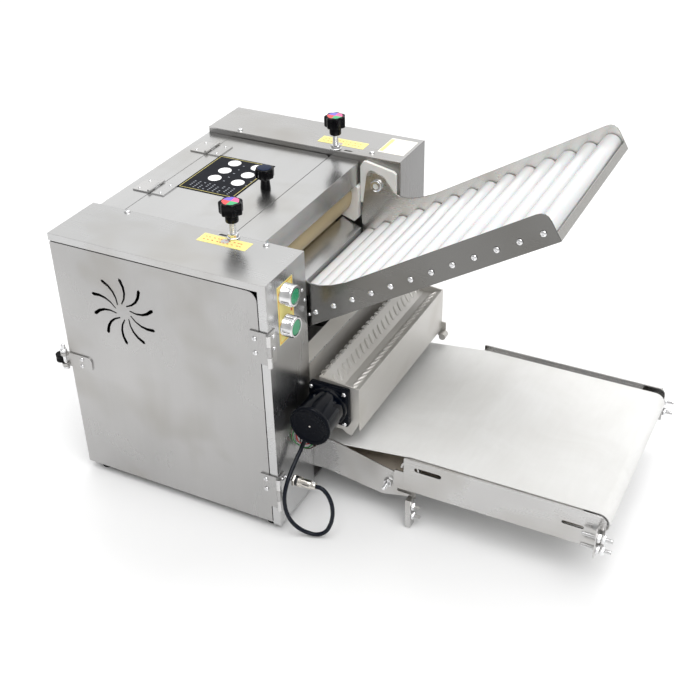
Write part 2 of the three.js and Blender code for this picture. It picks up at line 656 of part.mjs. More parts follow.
function motorCable() {
  const path = new THREE.CatmullRomCurve3(cableRoute.map((point) => new THREE.Vector3(...point)));
  const section = new THREE.Shape().absarc(0, 0, 3, 0, 2 * Math.PI, false);
  const options = { steps: 24, bevelEnabled: false, extrudePath: path, curveSegments: 4 };
  return new THREE.ExtrudeGeometry(section, options);
}
add("motor_cable", motorCable(), blackRubber);
const onSocket = (radius, from, to, sides) => rodX(socketAxis.y, socketAxis.z, radius, from, to, sides);
const plugBody = join(onSocket(7.6, 357.3, 362, 16), onSocket(6.2, 361, 378, 16), onSocket(5.2, 377, 384, 12));
add("cable_plug", plugBody, chromed);
const socketBody = join(onSocket(2.6, 328, 350, 10), onSocket(8.5, 349, 354, 6), onSocket(7, 353, 357, 16));
add("cable_socket", socketBody, chromed);

// Conveyor arms: bolted to the side plates, with take-up brackets and levelling plates at their ends
function conveyorArms() {
  const armOutline = outline([
    [270, 82], [270, 47], [361, 47], [446, 34], [496, 46], [496, 73], [442, 85], [369, 103], [340, 103], [340, 82],
  ]);
  const pieces = ["near", "far"].flatMap((side) => {
    const span = (from, to) => sideSpan(side, from, to);
    const arm = cut(
      alongY(armOutline, ...span(bay.near + 0.4, bay.near + 2.4)),
      rodY(idlerWheel.x, idlerWheel.z, 4.3, 0, 500, 10),
      rodY(driveWheel.x, driveWheel.z, 9, 0, 500, 10),
    );
    const takeUp = cut(
      box(466, 498, ...span(96, 98), 46, 88),
      alongY(slotShape(470, 492, 54, 2.5), 0, 500, 3),
    );
    const joggle = box(464, 468, ...span(96, bay.near + 2), 46, 84);
    const foot = box(488, 496, ...span(84, 97), 1.4, 50);
    const studs = [37.5, 21].map((z) => {
      const [from] = span(90, 90);
      return join(rodX(from, z, 4.4, 493, 499, 6), rodX(from, z, 2.4, 495, 508, 8));
    });
    return [arm, joggle, takeUp, foot, ...studs];
  });
  const tie = rodY(420, 46, 5, bay.near + 1, bay.far - 1, 12);
  return join(...pieces, tie);
}
add("conveyor_arms", conveyorArms(), stainless);

// Belt table: side plates, slider bed with a rounded rear edge, end brackets and tension bolts
function tableFrame() {
  const { near, far, from, to, bottom, top } = table;
  const bedTop = bedEdge.z + bedEdge.r;
  const slots = [slotShape(497, 537, 101, 3.5), slotShape(707, 737, 89.5, 2.6)];
  const pieces = ["near", "far"].flatMap((side) => {
    const [y0, y1] = side === "near" ? [near, near + sheet] : [far - sheet, far];
    const plate = cut(
      alongY(roundedShape(from, to, bottom, top, [2, 2, 10, 2]), y0, y1, 3),
      ...slots.map((slot) => alongY(slot, y0 - 1, y1 + 1, 3)),
    );
    const outward = side === "near" ? -1 : 1;
    const face = side === "near" ? near : far;
    const low = Math.min(face, face + 16 * outward);
    const flange = box(to - 9, to - 7, low - 0.5, low + 16.5, 58, 106);
    const bolts = [89, 70].map((z) => {
      const y = face + 9 * outward;
      return join(rodX(y, z, 2.8, 737, 778, 8), rodX(y, z, 5.4, to - 7.5, to - 2, 6));
    });
    return [plate, flange, ...bolts];
  });
  const bed = alongY(
    outline([[504, bedTop - 2], [504, bedTop], [732, bedTop], [732, bedTop - 2]]),
    near + 1, far - 1,
  );
  const nosing = cut(
    rodY(bedEdge.x, bedEdge.z, bedEdge.r, near + 1, far - 1, 28),
    rodY(bedEdge.x, bedEdge.z, bedEdge.r - 2.4, near - 1, far + 1, 20),
    box(bedEdge.x - 20, bedEdge.x + 20, near - 2, far + 2, bedEdge.z - 30, bedEdge.z),
  );
  const rest = box(bedEdge.x, 506, near + 1, far - 1, bedTop - 2, bedTop);
  const ties = [520, 700].map((x) => box(x, x + 12, near + 1, far - 1, 62, 66));
  const axleBore = rodY(noseWheel.x, noseWheel.z, 5.3, near - 5, far + 5, 12);
  return cut(join(...pieces, bed, rest, nosing, ...ties), axleBore);
}
add("conveyor_frame", tableFrame(), stainless);
add("conveyor_belt", band(wheels, belt.thickness, belt.near, belt.far, 0.26), canvas);

// Rollers of the belt
const beltRoller = (wheel, axle, from, to, sides) =>
  join(rodY(wheel.x, wheel.z, wheel.r, belt.near, belt.far, sides), rodY(wheel.x, wheel.z, axle, from, to, 12));
add("belt_drive_roller", beltRoller(driveWheel, 8, bay.near - 30, bay.far + 30, 24), steel);
add("belt_return_roller", beltRoller(idlerWheel, 4, 94, 404, 14), steel);
add("belt_nose_roller", beltRoller(noseWheel, 5, table.near + gap, table.far - gap, 20), aluminium);

// Push buttons
for (const { name, y, z } of buttonCentres) {
  const cap = rodX(y, z, 10.8, 340, 351.6, 24);
  add(name, join(cap, rodX(y, z, 6, 318, 341, 12)), greenPlastic);
}

export default machine;
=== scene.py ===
import bmesh
import bpy
import math
from mathutils import Matrix, Vector


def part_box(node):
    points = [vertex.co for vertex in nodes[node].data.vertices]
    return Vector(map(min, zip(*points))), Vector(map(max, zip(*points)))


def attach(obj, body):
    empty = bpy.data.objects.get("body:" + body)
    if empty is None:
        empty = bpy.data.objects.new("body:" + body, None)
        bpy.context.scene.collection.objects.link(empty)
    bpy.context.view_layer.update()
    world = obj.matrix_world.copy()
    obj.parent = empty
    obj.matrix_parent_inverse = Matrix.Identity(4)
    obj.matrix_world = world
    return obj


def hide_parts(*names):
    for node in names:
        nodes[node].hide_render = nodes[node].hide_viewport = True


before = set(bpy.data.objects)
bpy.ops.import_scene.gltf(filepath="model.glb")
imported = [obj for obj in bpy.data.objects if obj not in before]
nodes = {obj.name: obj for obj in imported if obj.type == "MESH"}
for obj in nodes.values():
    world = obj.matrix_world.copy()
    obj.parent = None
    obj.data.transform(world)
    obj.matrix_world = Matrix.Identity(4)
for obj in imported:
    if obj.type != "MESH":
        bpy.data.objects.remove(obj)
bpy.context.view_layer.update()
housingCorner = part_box("near_housing")[0]
scene = bpy.context.scene
scene.view_settings.view_transform = "Standard"
print("frame loaded")


# Machine millimetres: x from the rear, y from the near door, z from the floor.
def spot(x, y, z):
    offset = Vector((x, y, z - 11)) / 1000
    return housingCorner + offset


# Camera, floor and light.
camera = {"place": (967.08, -1002.56, 1093.85), "turn": (56.29, 0.99, 26.63), "lens": 57.80}
turn = [math.radians(angle) for angle in camera["turn"]]
bpy.ops.object.camera_add(location=spot(*camera["place"]), rotation=turn)
scene.camera = bpy.context.object
scene.camera.name = "studioCamera"
scene.camera.data.lens = camera["lens"]

light = {
    "sunPower": 2.0, "sunAngle": 52, "sunTurn": (16, 20, 0),
    "boxPower": 9, "boxSize": (1.3, 0.5), "boxPlace": (300, 700, 1700),
    "window": (-0.42, 0.72, 0.55), "dim": 0.55, "bright": 1.0,
}


# Material helpers.
def newFinish(name, **values):
    finish = bpy.data.materials.new(name)
    finish.use_nodes = True
    shader = finish.node_tree.nodes["Principled BSDF"]
    for socket, value in values.items():
        shader.inputs[socket.replace("_", " ")].default_value = value
    return finish, finish.node_tree, shader


def addNode(tree, kind, inputs=None, **settings):
    node = tree.nodes.new("ShaderNode" + kind)
    for name, value in settings.items():
        setattr(node, name, value)
    for name, value in (inputs or {}).items():
        if isinstance(value, bpy.types.NodeSocket):
            tree.links.new(value, node.inputs[name])
        else:
            node.inputs[name].default_value = value
    return node


def objectSpace(tree, stretch=(1, 1, 1)):
    place = addNode(tree, "TexCoord").outputs["Object"]
    return addNode(tree, "Mapping", {"Vector": place, "Scale": stretch}).outputs["Vector"]


def noise(tree, stretch, detail=3.0, roughness=0.55, distortion=0.0):
    inputs = {"Vector": objectSpace(tree, stretch), "Scale": 1.0, "Detail": detail,
              "Roughness": roughness, "Distortion": distortion}
    return addNode(tree, "TexNoise", inputs).outputs["Fac"]


def spread(tree, value, low, high, fromLow=0.3, fromHigh=0.7):
    inputs = {"Value": value, "From Min": fromLow, "From Max": fromHigh, "To Min": low, "To Max": high}
    return addNode(tree, "MapRange", inputs).outputs["Result"]


def combine(tree, operation, first, second):
    node = addNode(tree, "Math", operation=operation)
    for socket, value in zip(node.inputs, (first, second)):
        if isinstance(value, bpy.types.NodeSocket):
            tree.links.new(value, socket)
        else:
            socket.default_value = value
    return node.outputs[0]


def blendColour(tree, factor, first, second):
    inputs = {"Fac": factor, "Color1": first, "Color2": second}
    return addNode(tree, "MixRGB", inputs).outputs["Color"]


def shade(colour, factor=1.0):
    return (*[min(channel * factor, 1.0) for channel in colour], 1.0)


def roundedNormal(tree, radius):
    return addNode(tree, "Bevel", {"Radius": radius}, samples=4).outputs["Normal"]


def bump(tree, height, distance, normal=None):
    inputs = {"Height": height, "Distance": distance, "Strength": 1.0}
    if normal is not None:
        inputs["Normal"] = normal
    return addNode(tree, "Bump", inputs).outputs["Normal"]


# Noise drawn out along one axis; on faces across that axis it runs upright, or along X on level ones.
def grainNoise(tree, along, slow, fast):
    stretches = {"x": (slow, fast, fast), "y": (fast, slow, fast), "z": (fast, fast, slow)}
    facing = addNode(tree, "SeparateXYZ", {"Vector": addNode(tree, "TexCoord").outputs["Normal"]})
    across = combine(tree, "ABSOLUTE", facing.outputs[along.upper()], 0)
    turn = combine(tree, "GREATER_THAN", across, 0.8)
    first = noise(tree, stretches[along], 2)
    second = noise(tree, stretches["x" if along == "z" else "z"], 2)
    kept = combine(tree, "MULTIPLY", first, combine(tree, "SUBTRACT", 1.0, turn))
    return combine(tree, "ADD", kept, combine(tree, "MULTIPLY", second, turn))


# Rolled sheet: brushed grain along one axis, cloudy handling marks and a slight waviness. A panel is
# (axis, edge in metres, factor): sheet beyond that edge is toned lighter or darker by the factor, a painted
# reflection.
def brushedSteel(name, colour, along="x", rough=0.3, clouds=0.07, marks=0.04, wave=0.0004, edge=0.0007,
                 panel=None, metallic=1.0):
    finish, tree, shader = newFinish(name, Metallic=metallic)
    grain = grainNoise(tree, along, 5, 330)
    streak = grainNoise(tree, along, 1.4, 38)
    cloud = noise(tree, (4, 4, 4), 2, 0.5, 0.2)
    mark = noise(tree, (9, 9, 9), 2, 0.5, 0.3)
    tint = blendColour(tree, spread(tree, cloud, 0, 1), shade(colour, 1 - clouds), shade(colour, 1 + clouds))
    warm = (colour[0] * 0.86, colour[1] * 0.84, colour[2] * 0.80)
    tint = blendColour(tree, spread(tree, mark, 0, 0.9, 0.5, 0.75), tint, shade(warm))
    lines = combine(tree, "ADD", spread(tree, streak, 0.988, 1.012), spread(tree, grain, -0.008, 0.008))
    # Painted reflection: the panel factor scales the colour past the edge to stand in for what that part of
    # the polished sheet mirrors.
    if panel:
        axis, limit, factor = panel
        place = addNode(tree, "SeparateXYZ", {"Vector": objectSpace(tree)}).outputs[axis]
        lines = combine(tree, "MULTIPLY", lines, spread(tree, place, 1, factor, limit, limit + 0.0015))
    scaled = addNode(tree, "VectorMath", {0: tint, "Scale": lines}, operation="SCALE")
    tree.links.new(scaled.outputs[0], shader.inputs["Base Color"])
    haze = spread(tree, mark, rough - 0.03, rough + marks)
    gloss = combine(tree, "ADD", haze, spread(tree, grain, -0.008, 0.012))
    tree.links.new(gloss, shader.inputs["Roughness"])
    waviness = noise(tree, (3.2, 3.2, 3.2), 1)
    normal = bump(tree, waviness, wave * 2.2, roundedNormal(tree, edge))
    normal = bump(tree, grain, 0.0000025, normal)
    tree.links.new(normal, shader.inputs["Normal"])
    return finish


# Turned or plated metal: fine marks round the piece and a faint haze.
def platedMetal(name, colour, rough=0.14, haze=0.08, edge=0.0003):
    finish, tree, shader = newFinish(name, Metallic=1.0)
    mark = noise(tree, (160, 160, 160), 4, 0.6, 0.8)
    soft = noise(tree, (30, 30, 30), 3)
    tint = blendColour(tree, spread(tree, soft, 0, 1), shade(colour, 0.86), shade(colour, 1.05))
    tree.links.new(tint, shader.inputs["Base Color"])
    tree.links.new(spread(tree, mark, rough, rough + haze), shader.inputs["Roughness"])
    normal = bump(tree, mark, 0.00003, roundedNormal(tree, edge))
    tree.links.new(normal, shader.inputs["Normal"])
    return finish


# Moulded or machined plastic: slight mottle, tool lines along one axis, soft edges.
def plastic(name, colour, rough=0.3, mottle=0.04, lines=None, lineDepth=0.00002, edge=0.0006, grit=420,
            **values):
    finish, tree, shader = newFinish(name, **values)
    cloud = noise(tree, (14, 14, 14), 3)
    fine = noise(tree, (grit, grit, grit), 3)
    tint = blendColour(tree, spread(tree, cloud, 0, 1), shade(colour, 1 - mottle), shade(colour, 1 + mottle))
    tree.links.new(tint, shader.inputs["Base Color"])
    haze = spread(tree, cloud, rough - 0.04, rough + 0.05)
    gloss = combine(tree, "ADD", haze, spread(tree, fine, -0.03, 0.03))
    tree.links.new(gloss, shader.inputs["Roughness"])
    normal = bump(tree, fine, 0.00002, roundedNormal(tree, edge))
    if lines:
        normal = bump(tree, noise(tree, lines, 2), lineDepth, normal)
    tree.links.new(normal, shader.inputs["Normal"])
    return finish


# Woven belt: warp and weft threads, a faint nap and flour-dusted patches.
def wovenCanvas(name, colour, dust, thread=620.0):
    finish, tree, shader = newFinish(name, Sheen_Weight=0.25, Sheen_Roughness=0.6)
    waves = []
    for direction in ("X", "Y"):
        inputs = {"Vector": objectSpace(tree), "Scale": thread, "Distortion": 0.6, "Detail": 1.0,
                  "Detail Scale": 2.0}
        waves.append(addNode(tree, "TexWave", inputs, bands_direction=direction).outputs["Fac"])
    weave = combine(tree, "MULTIPLY", waves[0], waves[1])
    nap = noise(tree, (900, 900, 900), 3)
    patch = noise(tree, (9, 9, 9), 4, 0.6, 0.7)
    cross = noise(tree, (140, 22, 60), 2)
    tint = blendColour(tree, spread(tree, patch, 0, 1), shade(colour, 0.97), shade(dust))
    tint = blendColour(tree, spread(tree, cross, 0, 0.12, 0.35, 0.65), tint, shade(colour, 0.86))
    tint = blendColour(tree, spread(tree, weave, 0.12, 0, 0, 0.7), tint, shade(colour, 0.72))
    tree.links.new(tint, shader.inputs["Base Color"])
    tree.links.new(spread(tree, nap, 0.78, 0.95), shader.inputs["Roughness"])
    normal = bump(tree, weave, 0.00012)
    tree.links.new(bump(tree, nap, 0.00005, normal), shader.inputs["Normal"])
    return finish


# Printed film: flat ink with a slightly uneven lay-down and an eggshell sheen.
def printedFilm(name, colour, rough=0.35, wear=0.06, coat=0.0, level=0.4):
    finish, tree, shader = newFinish(name, Coat_Weight=coat, Coat_Roughness=0.12, Specular_IOR_Level=level)
    patch = noise(tree, (55, 55, 55), 4, 0.6, 0.5)
    fine = noise(tree, (700, 700, 700), 2)
    tint = blendColour(tree, spread(tree, patch, 0, 1), shade(colour, 1 - wear), shade(colour, 1 + wear))
    tree.links.new(tint, shader.inputs["Base Color"])
    tree.links.new(spread(tree, patch, rough - 0.05, rough + 0.08), shader.inputs["Roughness"])
    tree.links.new(bump(tree, fine, 0.00001), shader.inputs["Normal"])
    return finish


steel = {
    "housing": brushedSteel("housingSteel", (0.58, 0.58, 0.58), "x", 0.27, 0.05),
    # Painted reflection: the far housing's front face (past x = -0.0445 m) is darkened to 0.4 of the tone for
    # the dark surroundings it mirrors.
    "farHousing": brushedSteel("farHousingSteel", (0.56, 0.555, 0.55), "x", 0.26, 0.07,
                               panel=("X", -0.0445, 0.4)),
    "door": brushedSteel("doorSteel", (0.46, 0.455, 0.45), "z", 0.28, 0.08, 0.08),
    "lid": brushedSteel("lidSteel", (0.62, 0.62, 0.62), "y", 0.22, 0.04, 0.04, 0.0002),
    # Painted reflection: the tray's near plate keeps the dark 0.19 tone and the sheet past y = -0.1322 m is
    # lifted 3.4 times, standing in for the shaded surroundings the near plate mirrors.
    "tray": brushedSteel("traySteel", (0.19, 0.187, 0.18), "x", 0.24, 0.06, 0.05, 0.0008,
                         panel=("Y", -0.1322, 3.4)),
    "duster": brushedSteel("dusterSteel", (0.66, 0.645, 0.62), "y", 0.42, 0.05, 0.06, 0.0004, metallic=0.62),
    "table": brushedSteel("tableSteel", (0.56, 0.555, 0.55), "x", 0.25, 0.1, 0.06, 0.0010),
    "plate": brushedSteel("plateSteel", (0.36, 0.355, 0.35), "z", 0.36, 0.12, 0.08, 0.0006),
    "leaf": brushedSteel("hingeSteel", (0.66, 0.655, 0.65), "z", 0.28, 0.04, 0.04, 0.0002, 0.0004),
}
metal = {
    "chrome": platedMetal("chromePlate", (0.82, 0.82, 0.83), 0.08, 0.06),
    "nickel": platedMetal("nickelPlate", (0.70, 0.67, 0.62), 0.16, 0.1),
    "turned": platedMetal("turnedSteel", (0.55, 0.55, 0.55), 0.24, 0.12),
    "cast": platedMetal("castAluminium", (0.58, 0.58, 0.58), 0.42, 0.15, 0.0008),
    "dark": platedMetal("darkSteel", (0.09, 0.09, 0.095), 0.3, 0.12),
}
rollerWhite = (0.64, 0.645, 0.65)
synthetic = {
    "roller": plastic("rollerPlastic", rollerWhite, 0.2, 0.02, (90, 260, 90), 0.00001,
                      Subsurface_Weight=0.25, Subsurface_Scale=0.004, Coat_Weight=0.3, Coat_Roughness=0.12),
    "block": plastic("blockPlastic", (0.80, 0.79, 0.76), 0.38, 0.03, (420, 30, 420), 0.00004, 0.0012,
                     Subsurface_Weight=0.15, Subsurface_Scale=0.004),
    "sleeve": plastic("tanSleeve", (0.50, 0.40, 0.23), 0.36, 0.06, (40, 500, 40), 0.00004),
    "knob": plastic("knobPlastic", (0.002, 0.002, 0.003), 0.14, 0.1, edge=0.0005, grit=300,
                    Specular_IOR_Level=0.14),
    "gloss": plastic("motorEnamel", (0.001, 0.002, 0.005), 0.08, 0.1, grit=90, Specular_IOR_Level=0.24),
    "matt": plastic("mattEnamel", (0.002, 0.003, 0.006), 0.26, 0.1, grit=260, Specular_IOR_Level=0.07),
    "rubber": plastic("blackRubber", (0.006, 0.006, 0.007), 0.5, 0.15, grit=350, Specular_IOR_Level=0.1),
    "lead": plastic("leadSheath", (0.005, 0.007, 0.013), 0.26, 0.12, edge=0.0002, grit=300,
                    Specular_IOR_Level=0.2),
    "green": plastic("greenButton", (0.012, 0.30, 0.13), 0.28, 0.05, Coat_Weight=0.4, Coat_Roughness=0.08),
    "greenWire": plastic("greenWire", (0.01, 0.22, 0.04), 0.35, 0.08),
    "redWire": plastic("redWire", (0.55, 0.015, 0.02), 0.35, 0.08),
    "darkWire": plastic("brownWire", (0.06, 0.03, 0.015), 0.4, 0.1),
}
ink = {
    "yellow": printedFilm("yellowFilm", (0.86, 0.76, 0.26)),
    "red": printedFilm("redInk", (0.62, 0.05, 0.035)),
    "orange": printedFilm("orangeInk", (0.80, 0.33, 0.03)),
    "black": printedFilm("blackPanel", (0.002, 0.003, 0.007), 0.3, 0.15, level=0.06),
    "gold": printedFilm("goldInk", (0.52, 0.45, 0.14), 0.4),
    "white": printedFilm("whiteInk", (0.90, 0.90, 0.90), 0.4, 0.02),
    "grey": printedFilm("greyInk", (0.32, 0.34, 0.38), 0.4),
    "paper": printedFilm("paperFilm", (0.82, 0.80, 0.72), 0.5, 0.03),
    "blue": printedFilm("blueCap", (0.004, 0.012, 0.04), 0.25, 0.1, level=0.12),
    "violet": printedFilm("violetInk", (0.16, 0.10, 0.58), 0.3, 0.05, 0.4),
    "pink": printedFilm("pinkInk", (0.78, 0.10, 0.30), 0.3, 0.05, 0.4),
    "scarlet": printedFilm("scarletInk", (0.75, 0.05, 0.05), 0.3, 0.05, 0.4),
    "leaf": printedFilm("leafInk", (0.03, 0.42, 0.16), 0.3, 0.05, 0.4),
}
cloth = {
    "belt": wovenCanvas("beltCanvas", (0.77, 0.765, 0.745), (0.83, 0.83, 0.82)),
    "back": wovenCanvas("beltBacking", (0.66, 0.58, 0.48), (0.72, 0.65, 0.56)),
}
print("finishes mixed")


# Modelling helpers.
def freshStart():
    if bpy.context.object and bpy.context.object.mode != "OBJECT":
        bpy.ops.object.mode_set(mode="OBJECT")
    bpy.ops.object.select_all(action="DESELECT")


def settle(name):
    piece = bpy.context.object
    piece.name = name
    bpy.ops.object.transform_apply(location=True, rotation=True, scale=True)
    return piece


def select(piece):
    freshStart()
    bpy.context.view_layer.objects.active = piece
    piece.select_set(True)


# Leaves edit mode on, with just the faces that pass the test picked.
def pickFaces(piece, test):
    select(piece)
    bpy.ops.object.mode_set(mode="EDIT")
    bpy.ops.mesh.select_mode(type="FACE")
    bpy.ops.mesh.select_all(action="DESELECT")
    mesh = bmesh.from_edit_mesh(piece.data)
    for face in mesh.faces:
        face.select_set(test(face.calc_center_median(), face.normal))
    bmesh.update_edit_mesh(piece.data)


def faceOutwards(piece):
    pickFaces(piece, lambda middle, normal: True)
    bpy.ops.mesh.remove_doubles(threshold=0.000005)
    bpy.ops.mesh.normals_make_consistent(inside=False)
    bpy.ops.object.mode_set(mode="OBJECT")


def smooth(piece, angle=38):
    select(piece)
    bpy.ops.object.shade_smooth_by_angle(angle=math.radians(angle))
    return piece


def softenEdges(piece, width, segments=2, limit=30):
    select(piece)
    modifier = piece.modifiers.new("softEdges", "BEVEL")
    modifier.width = width / 1000
    modifier.segments = segments
    modifier.limit_method = "ANGLE"
    modifier.angle_limit = math.radians(limit)
    bpy.ops.object.modifier_apply(modifier=modifier.name)
    return smooth(piece)


# A turned piece: rings of (distance along the axis, radius) in mm, from its foot.
def turned(name, foot, axis, rings, sides=40, hollow=False):
    freshStart()
    out, radius = rings[0]
    fill = "NOTHING" if hollow else "NGON"
    start = (0, 0, out / 1000)
    bpy.ops.mesh.primitive_circle_add(vertices=sides, radius=radius / 1000, fill_type=fill, location=start)
    piece = settle(name)
    bpy.ops.object.mode_set(mode="EDIT")
    bpy.ops.mesh.select_all(action="SELECT")
    extrude = bpy.ops.mesh.extrude_edges_move if hollow else bpy.ops.mesh.extrude_region_move
    for nextOut, nextRadius in rings[1:]:
        extrude(TRANSFORM_OT_translate={"value": (0, 0, (nextOut - out) / 1000)})
        if nextRadius != radius:
            factor = nextRadius / radius
            bpy.ops.transform.resize(value=(factor, factor, 1), center_override=(0, 0, nextOut / 1000))
        out, radius = nextOut, nextRadius
    bpy.ops.object.mode_set(mode="OBJECT")
    facing = Vector(axis).to_track_quat("Z", "Y").to_matrix().to_4x4()
    piece.data.transform(Matrix.Translation(foot) @ facing)
    faceOutwards(piece)
    return smooth(piece)


# A folded or milled block between two machine corners, with its edges eased.
def block(name, low, high, ease=0.3, segments=2):
    freshStart()
    start, end = spot(*low), spot(*high)
    bpy.ops.mesh.primitive_cube_add(size=1, location=(start + end) / 2, scale=end - start)
    piece = settle(name)
    return softenEdges(piece, ease, segments) if ease else piece


def copyAt(piece, name, shift):
    twin = piece.copy()
    twin.data = piece.data.copy()
    twin.name = name
    scene.collection.objects.link(twin)
    twin.data.transform(Matrix.Translation(shift))
    return twin


def joined(name, parts):
    select(parts[0])
    for part in parts[1:]:
        part.select_set(True)
    bpy.ops.object.join()
    parts[0].name = name
    return parts[0]


def coat(piece, *finishes):
    piece.data.materials.clear()
    for finish in finishes:
        piece.data.materials.append(finish)
    return piece


def paint(piece, index, test):
    for face in piece.data.polygons:
        if test(face.center, face.normal):
            face.material_index = index
    return piece


def mount(piece, body, slot, *nodeNames):
    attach(piece, body)
    if nodeNames:
        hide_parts(*nodeNames)
    return piece


def dress(finish, *names):
    for name in names:
        nodes[name].material_slots[0].material = finish


# Motor lead: out of the gland, down to the floor and up to its screwed connector.
motorLead = {
    "diameter": 0.006,
    "route": [
        (349, 54, 141.7), (349, 54, 133), (347.5, 48.5, 123), (345.9, 36, 112), (345.5, 20, 101),
        (345.8, 6, 90), (346, -3, 76), (347, -6, 60), (350, -6, 44), (355, -3, 29), (363, 2, 16),
        (374, 7, 8), (386, 11, 6), (397, 14.5, 12), (404, 16.8, 25), (407.5, 18, 40), (408, 18.5, 55),
        (405.5, 18.4, 69), (399.5, 18.3, 81), (392, 18.3, 86.7), (384.3, 18.3, 87),
    ],
}


def wireCurve(name, route, diameter, finish):
    line = bpy.data.curves.new(name, "CURVE")
    line.dimensions = "3D"
    line.resolution_u = 8
    line.bevel_depth = diameter / 2
    line.bevel_resolution = 5
    line.use_fill_caps = True
    spline = line.splines.new("BEZIER")
    spline.bezier_points.add(len(route) - 1)
    for point, place in zip(spline.bezier_points, route):
        point.co = spot(*place)
        point.handle_left_type = point.handle_right_type = "AUTO"
    line.materials.append(finish)
    wire = bpy.data.objects.new(name, line)
    scene.collection.objects.link(wire)
    bpy.context.view_layer.update()
    return wire


def curveLength(wire):
    bpy.context.view_layer.update()
    return wire.data.splines[0].calc_length()


lead = wireCurve("motorLead", motorLead["route"], motorLead["diameter"], synthetic["lead"])
mount(lead, "frame", "black_rubber", "motor_cable")

connector = {
    "y": 18.3, "z": 87,
    "plugRings": [(357.2, 5.0), (357.2, 7.2), (357.6, 7.7), (359.0, 7.7), (359.4, 7.2), (359.8, 7.7),
                  (361.4, 7.7), (361.9, 7.1), (362.2, 6.1), (364.0, 6.1), (364.3, 6.4), (376.6, 6.4),
                  (377.2, 6.1), (377.6, 5.3), (382.6, 5.3), (383.4, 4.9), (384.0, 4.2), (384.0, 3.3)],
    "socketRings": [(328.2, 2.6), (336.0, 2.6), (336.0, 3.7), (337.2, 3.7), (337.2, 2.8), (348.6, 2.8),
                    (348.6, 4.4), (349.2, 4.4), (353.2, 4.4), (353.2, 6.6), (353.6, 7.1), (354.4, 7.1),
                    (354.7, 6.6), (355.0, 7.1), (355.8, 7.1), (356.1, 6.6), (356.4, 7.1), (356.8, 6.9),
                    (356.9, 4.0)],
}


def onSocketLine(name, rings, sides=36):
    start = rings[0][0]
    foot = spot(start, connector["y"], connector["z"])
    return turned(name, foot, (1, 0, 0), [(out - start, radius) for out, radius in rings], sides)


plugBody = coat(onSocketLine("plugBody", connector["plugRings"]), metal["nickel"])
plugParts = [plugBody]
for number, along in enumerate((379.4, 382.2)):
    foot = spot(along, connector["y"], connector["z"] + 4.6)
    clampScrew = turned("clampScrew" + str(number), foot, (0, -0.35, 1), [(0, 1.1), (1.9, 1.1), (2.2, 0.8)],
                        14)
    plugParts.append(coat(clampScrew, metal["chrome"]))
barrelSlot = block("barrelSlot", (366, 11.75, 88.6), (375.5, 12.1, 90.0), 0.1, 1)
plugParts.append(coat(barrelSlot, metal["dark"]))
plug = mount(joined("cordConnector", plugParts), "frame", "chrome", "cable_plug")

socketBody = coat(onSocketLine("socketBody", connector["socketRings"]), metal["chrome"], metal["dark"])
paint(socketBody, 1, lambda middle, normal: middle.x > spot(353.0, 0, 0).x)
nut = coat(onSocketLine("socketNut", [(349.1, 8.4), (349.5, 8.7), (352.6, 8.7), (353.0, 8.4)], 6),
           metal["nickel"])
mount(joined("panelSocket", [socketBody, nut]), "frame", "chrome", "cable_socket")

curveLength(lead)

motorWires = {
    "diameter": 0.0018,
    "greenWire": [(344, 60, 158), (339, 52, 156), (337.2, 44, 148), (337.0, 43, 138), (337.6, 47, 128),
                  (341, 53, 119.5), (348, 57, 115), (355, 59, 119), (359, 61, 130), (361, 62, 141),
                  (361, 62, 147)],
    "redWire": [(346, 64, 156), (341, 57, 152), (339.2, 50, 144), (339.2, 49, 136), (340, 51, 128),
                (344, 56, 122), (350, 60, 120), (355, 62, 125), (358, 64, 135), (359.5, 65, 146.5)],
    "darkWire": [(372, 70, 146.5), (370, 69, 136), (365, 68, 123), (357, 65, 114), (349, 62, 110),
                 (342, 60, 112), (339, 59, 120), (340, 60, 132), (345, 62, 146), (350, 64, 153)],
}
for wireName in ("greenWire", "redWire", "darkWire"):
    wire = wireCurve(wireName, motorWires[wireName], motorWires["diameter"], synthetic[wireName])
    mount(wire, "frame", "black_rubber")
    curveLength(wire)
print("motor lead and wires laid")


# Conveyor belt: one loop of woven canvas round four wheels.
belt = {
    "thickness": 1.5, "near": 103, "far": 395, "clearance": 0.3, "arcStep": 0.11,
    "wheels": [(150, 49, 22, True), (455, 59, 8, False), (752, 96.7, 14, True), (490, 96.7, 14, True)],
}


def loopLine(wheels, extra, arcStep):
    signed = [radius + extra if inside else -(radius + extra) for x, z, radius, inside in wheels]
    headings = []
    for index, (x, z, radius, inside) in enumerate(wheels):
        following = (index + 1) % len(wheels)
        across, up = wheels[following][0] - x, wheels[following][1] - z
        tilt = math.asin((signed[following] - signed[index]) / math.hypot(across, up))
        headings.append(math.atan2(up, across) - tilt)
    points = []
    for index, (x, z, radius, inside) in enumerate(wheels):
        arriving = headings[index - 1]
        turning = (headings[index] - arriving) % (2 * math.pi)
        if not inside:
            turning -= 2 * math.pi
        if turning < -math.pi:
            turning += 2 * math.pi
        steps = max(1, math.ceil(abs(turning) / arcStep))
        for step in range(steps + 1):
            heading = arriving + turning * step / steps
            points.append((x + signed[index] * math.sin(heading), z - signed[index] * math.cos(heading)))
    return points


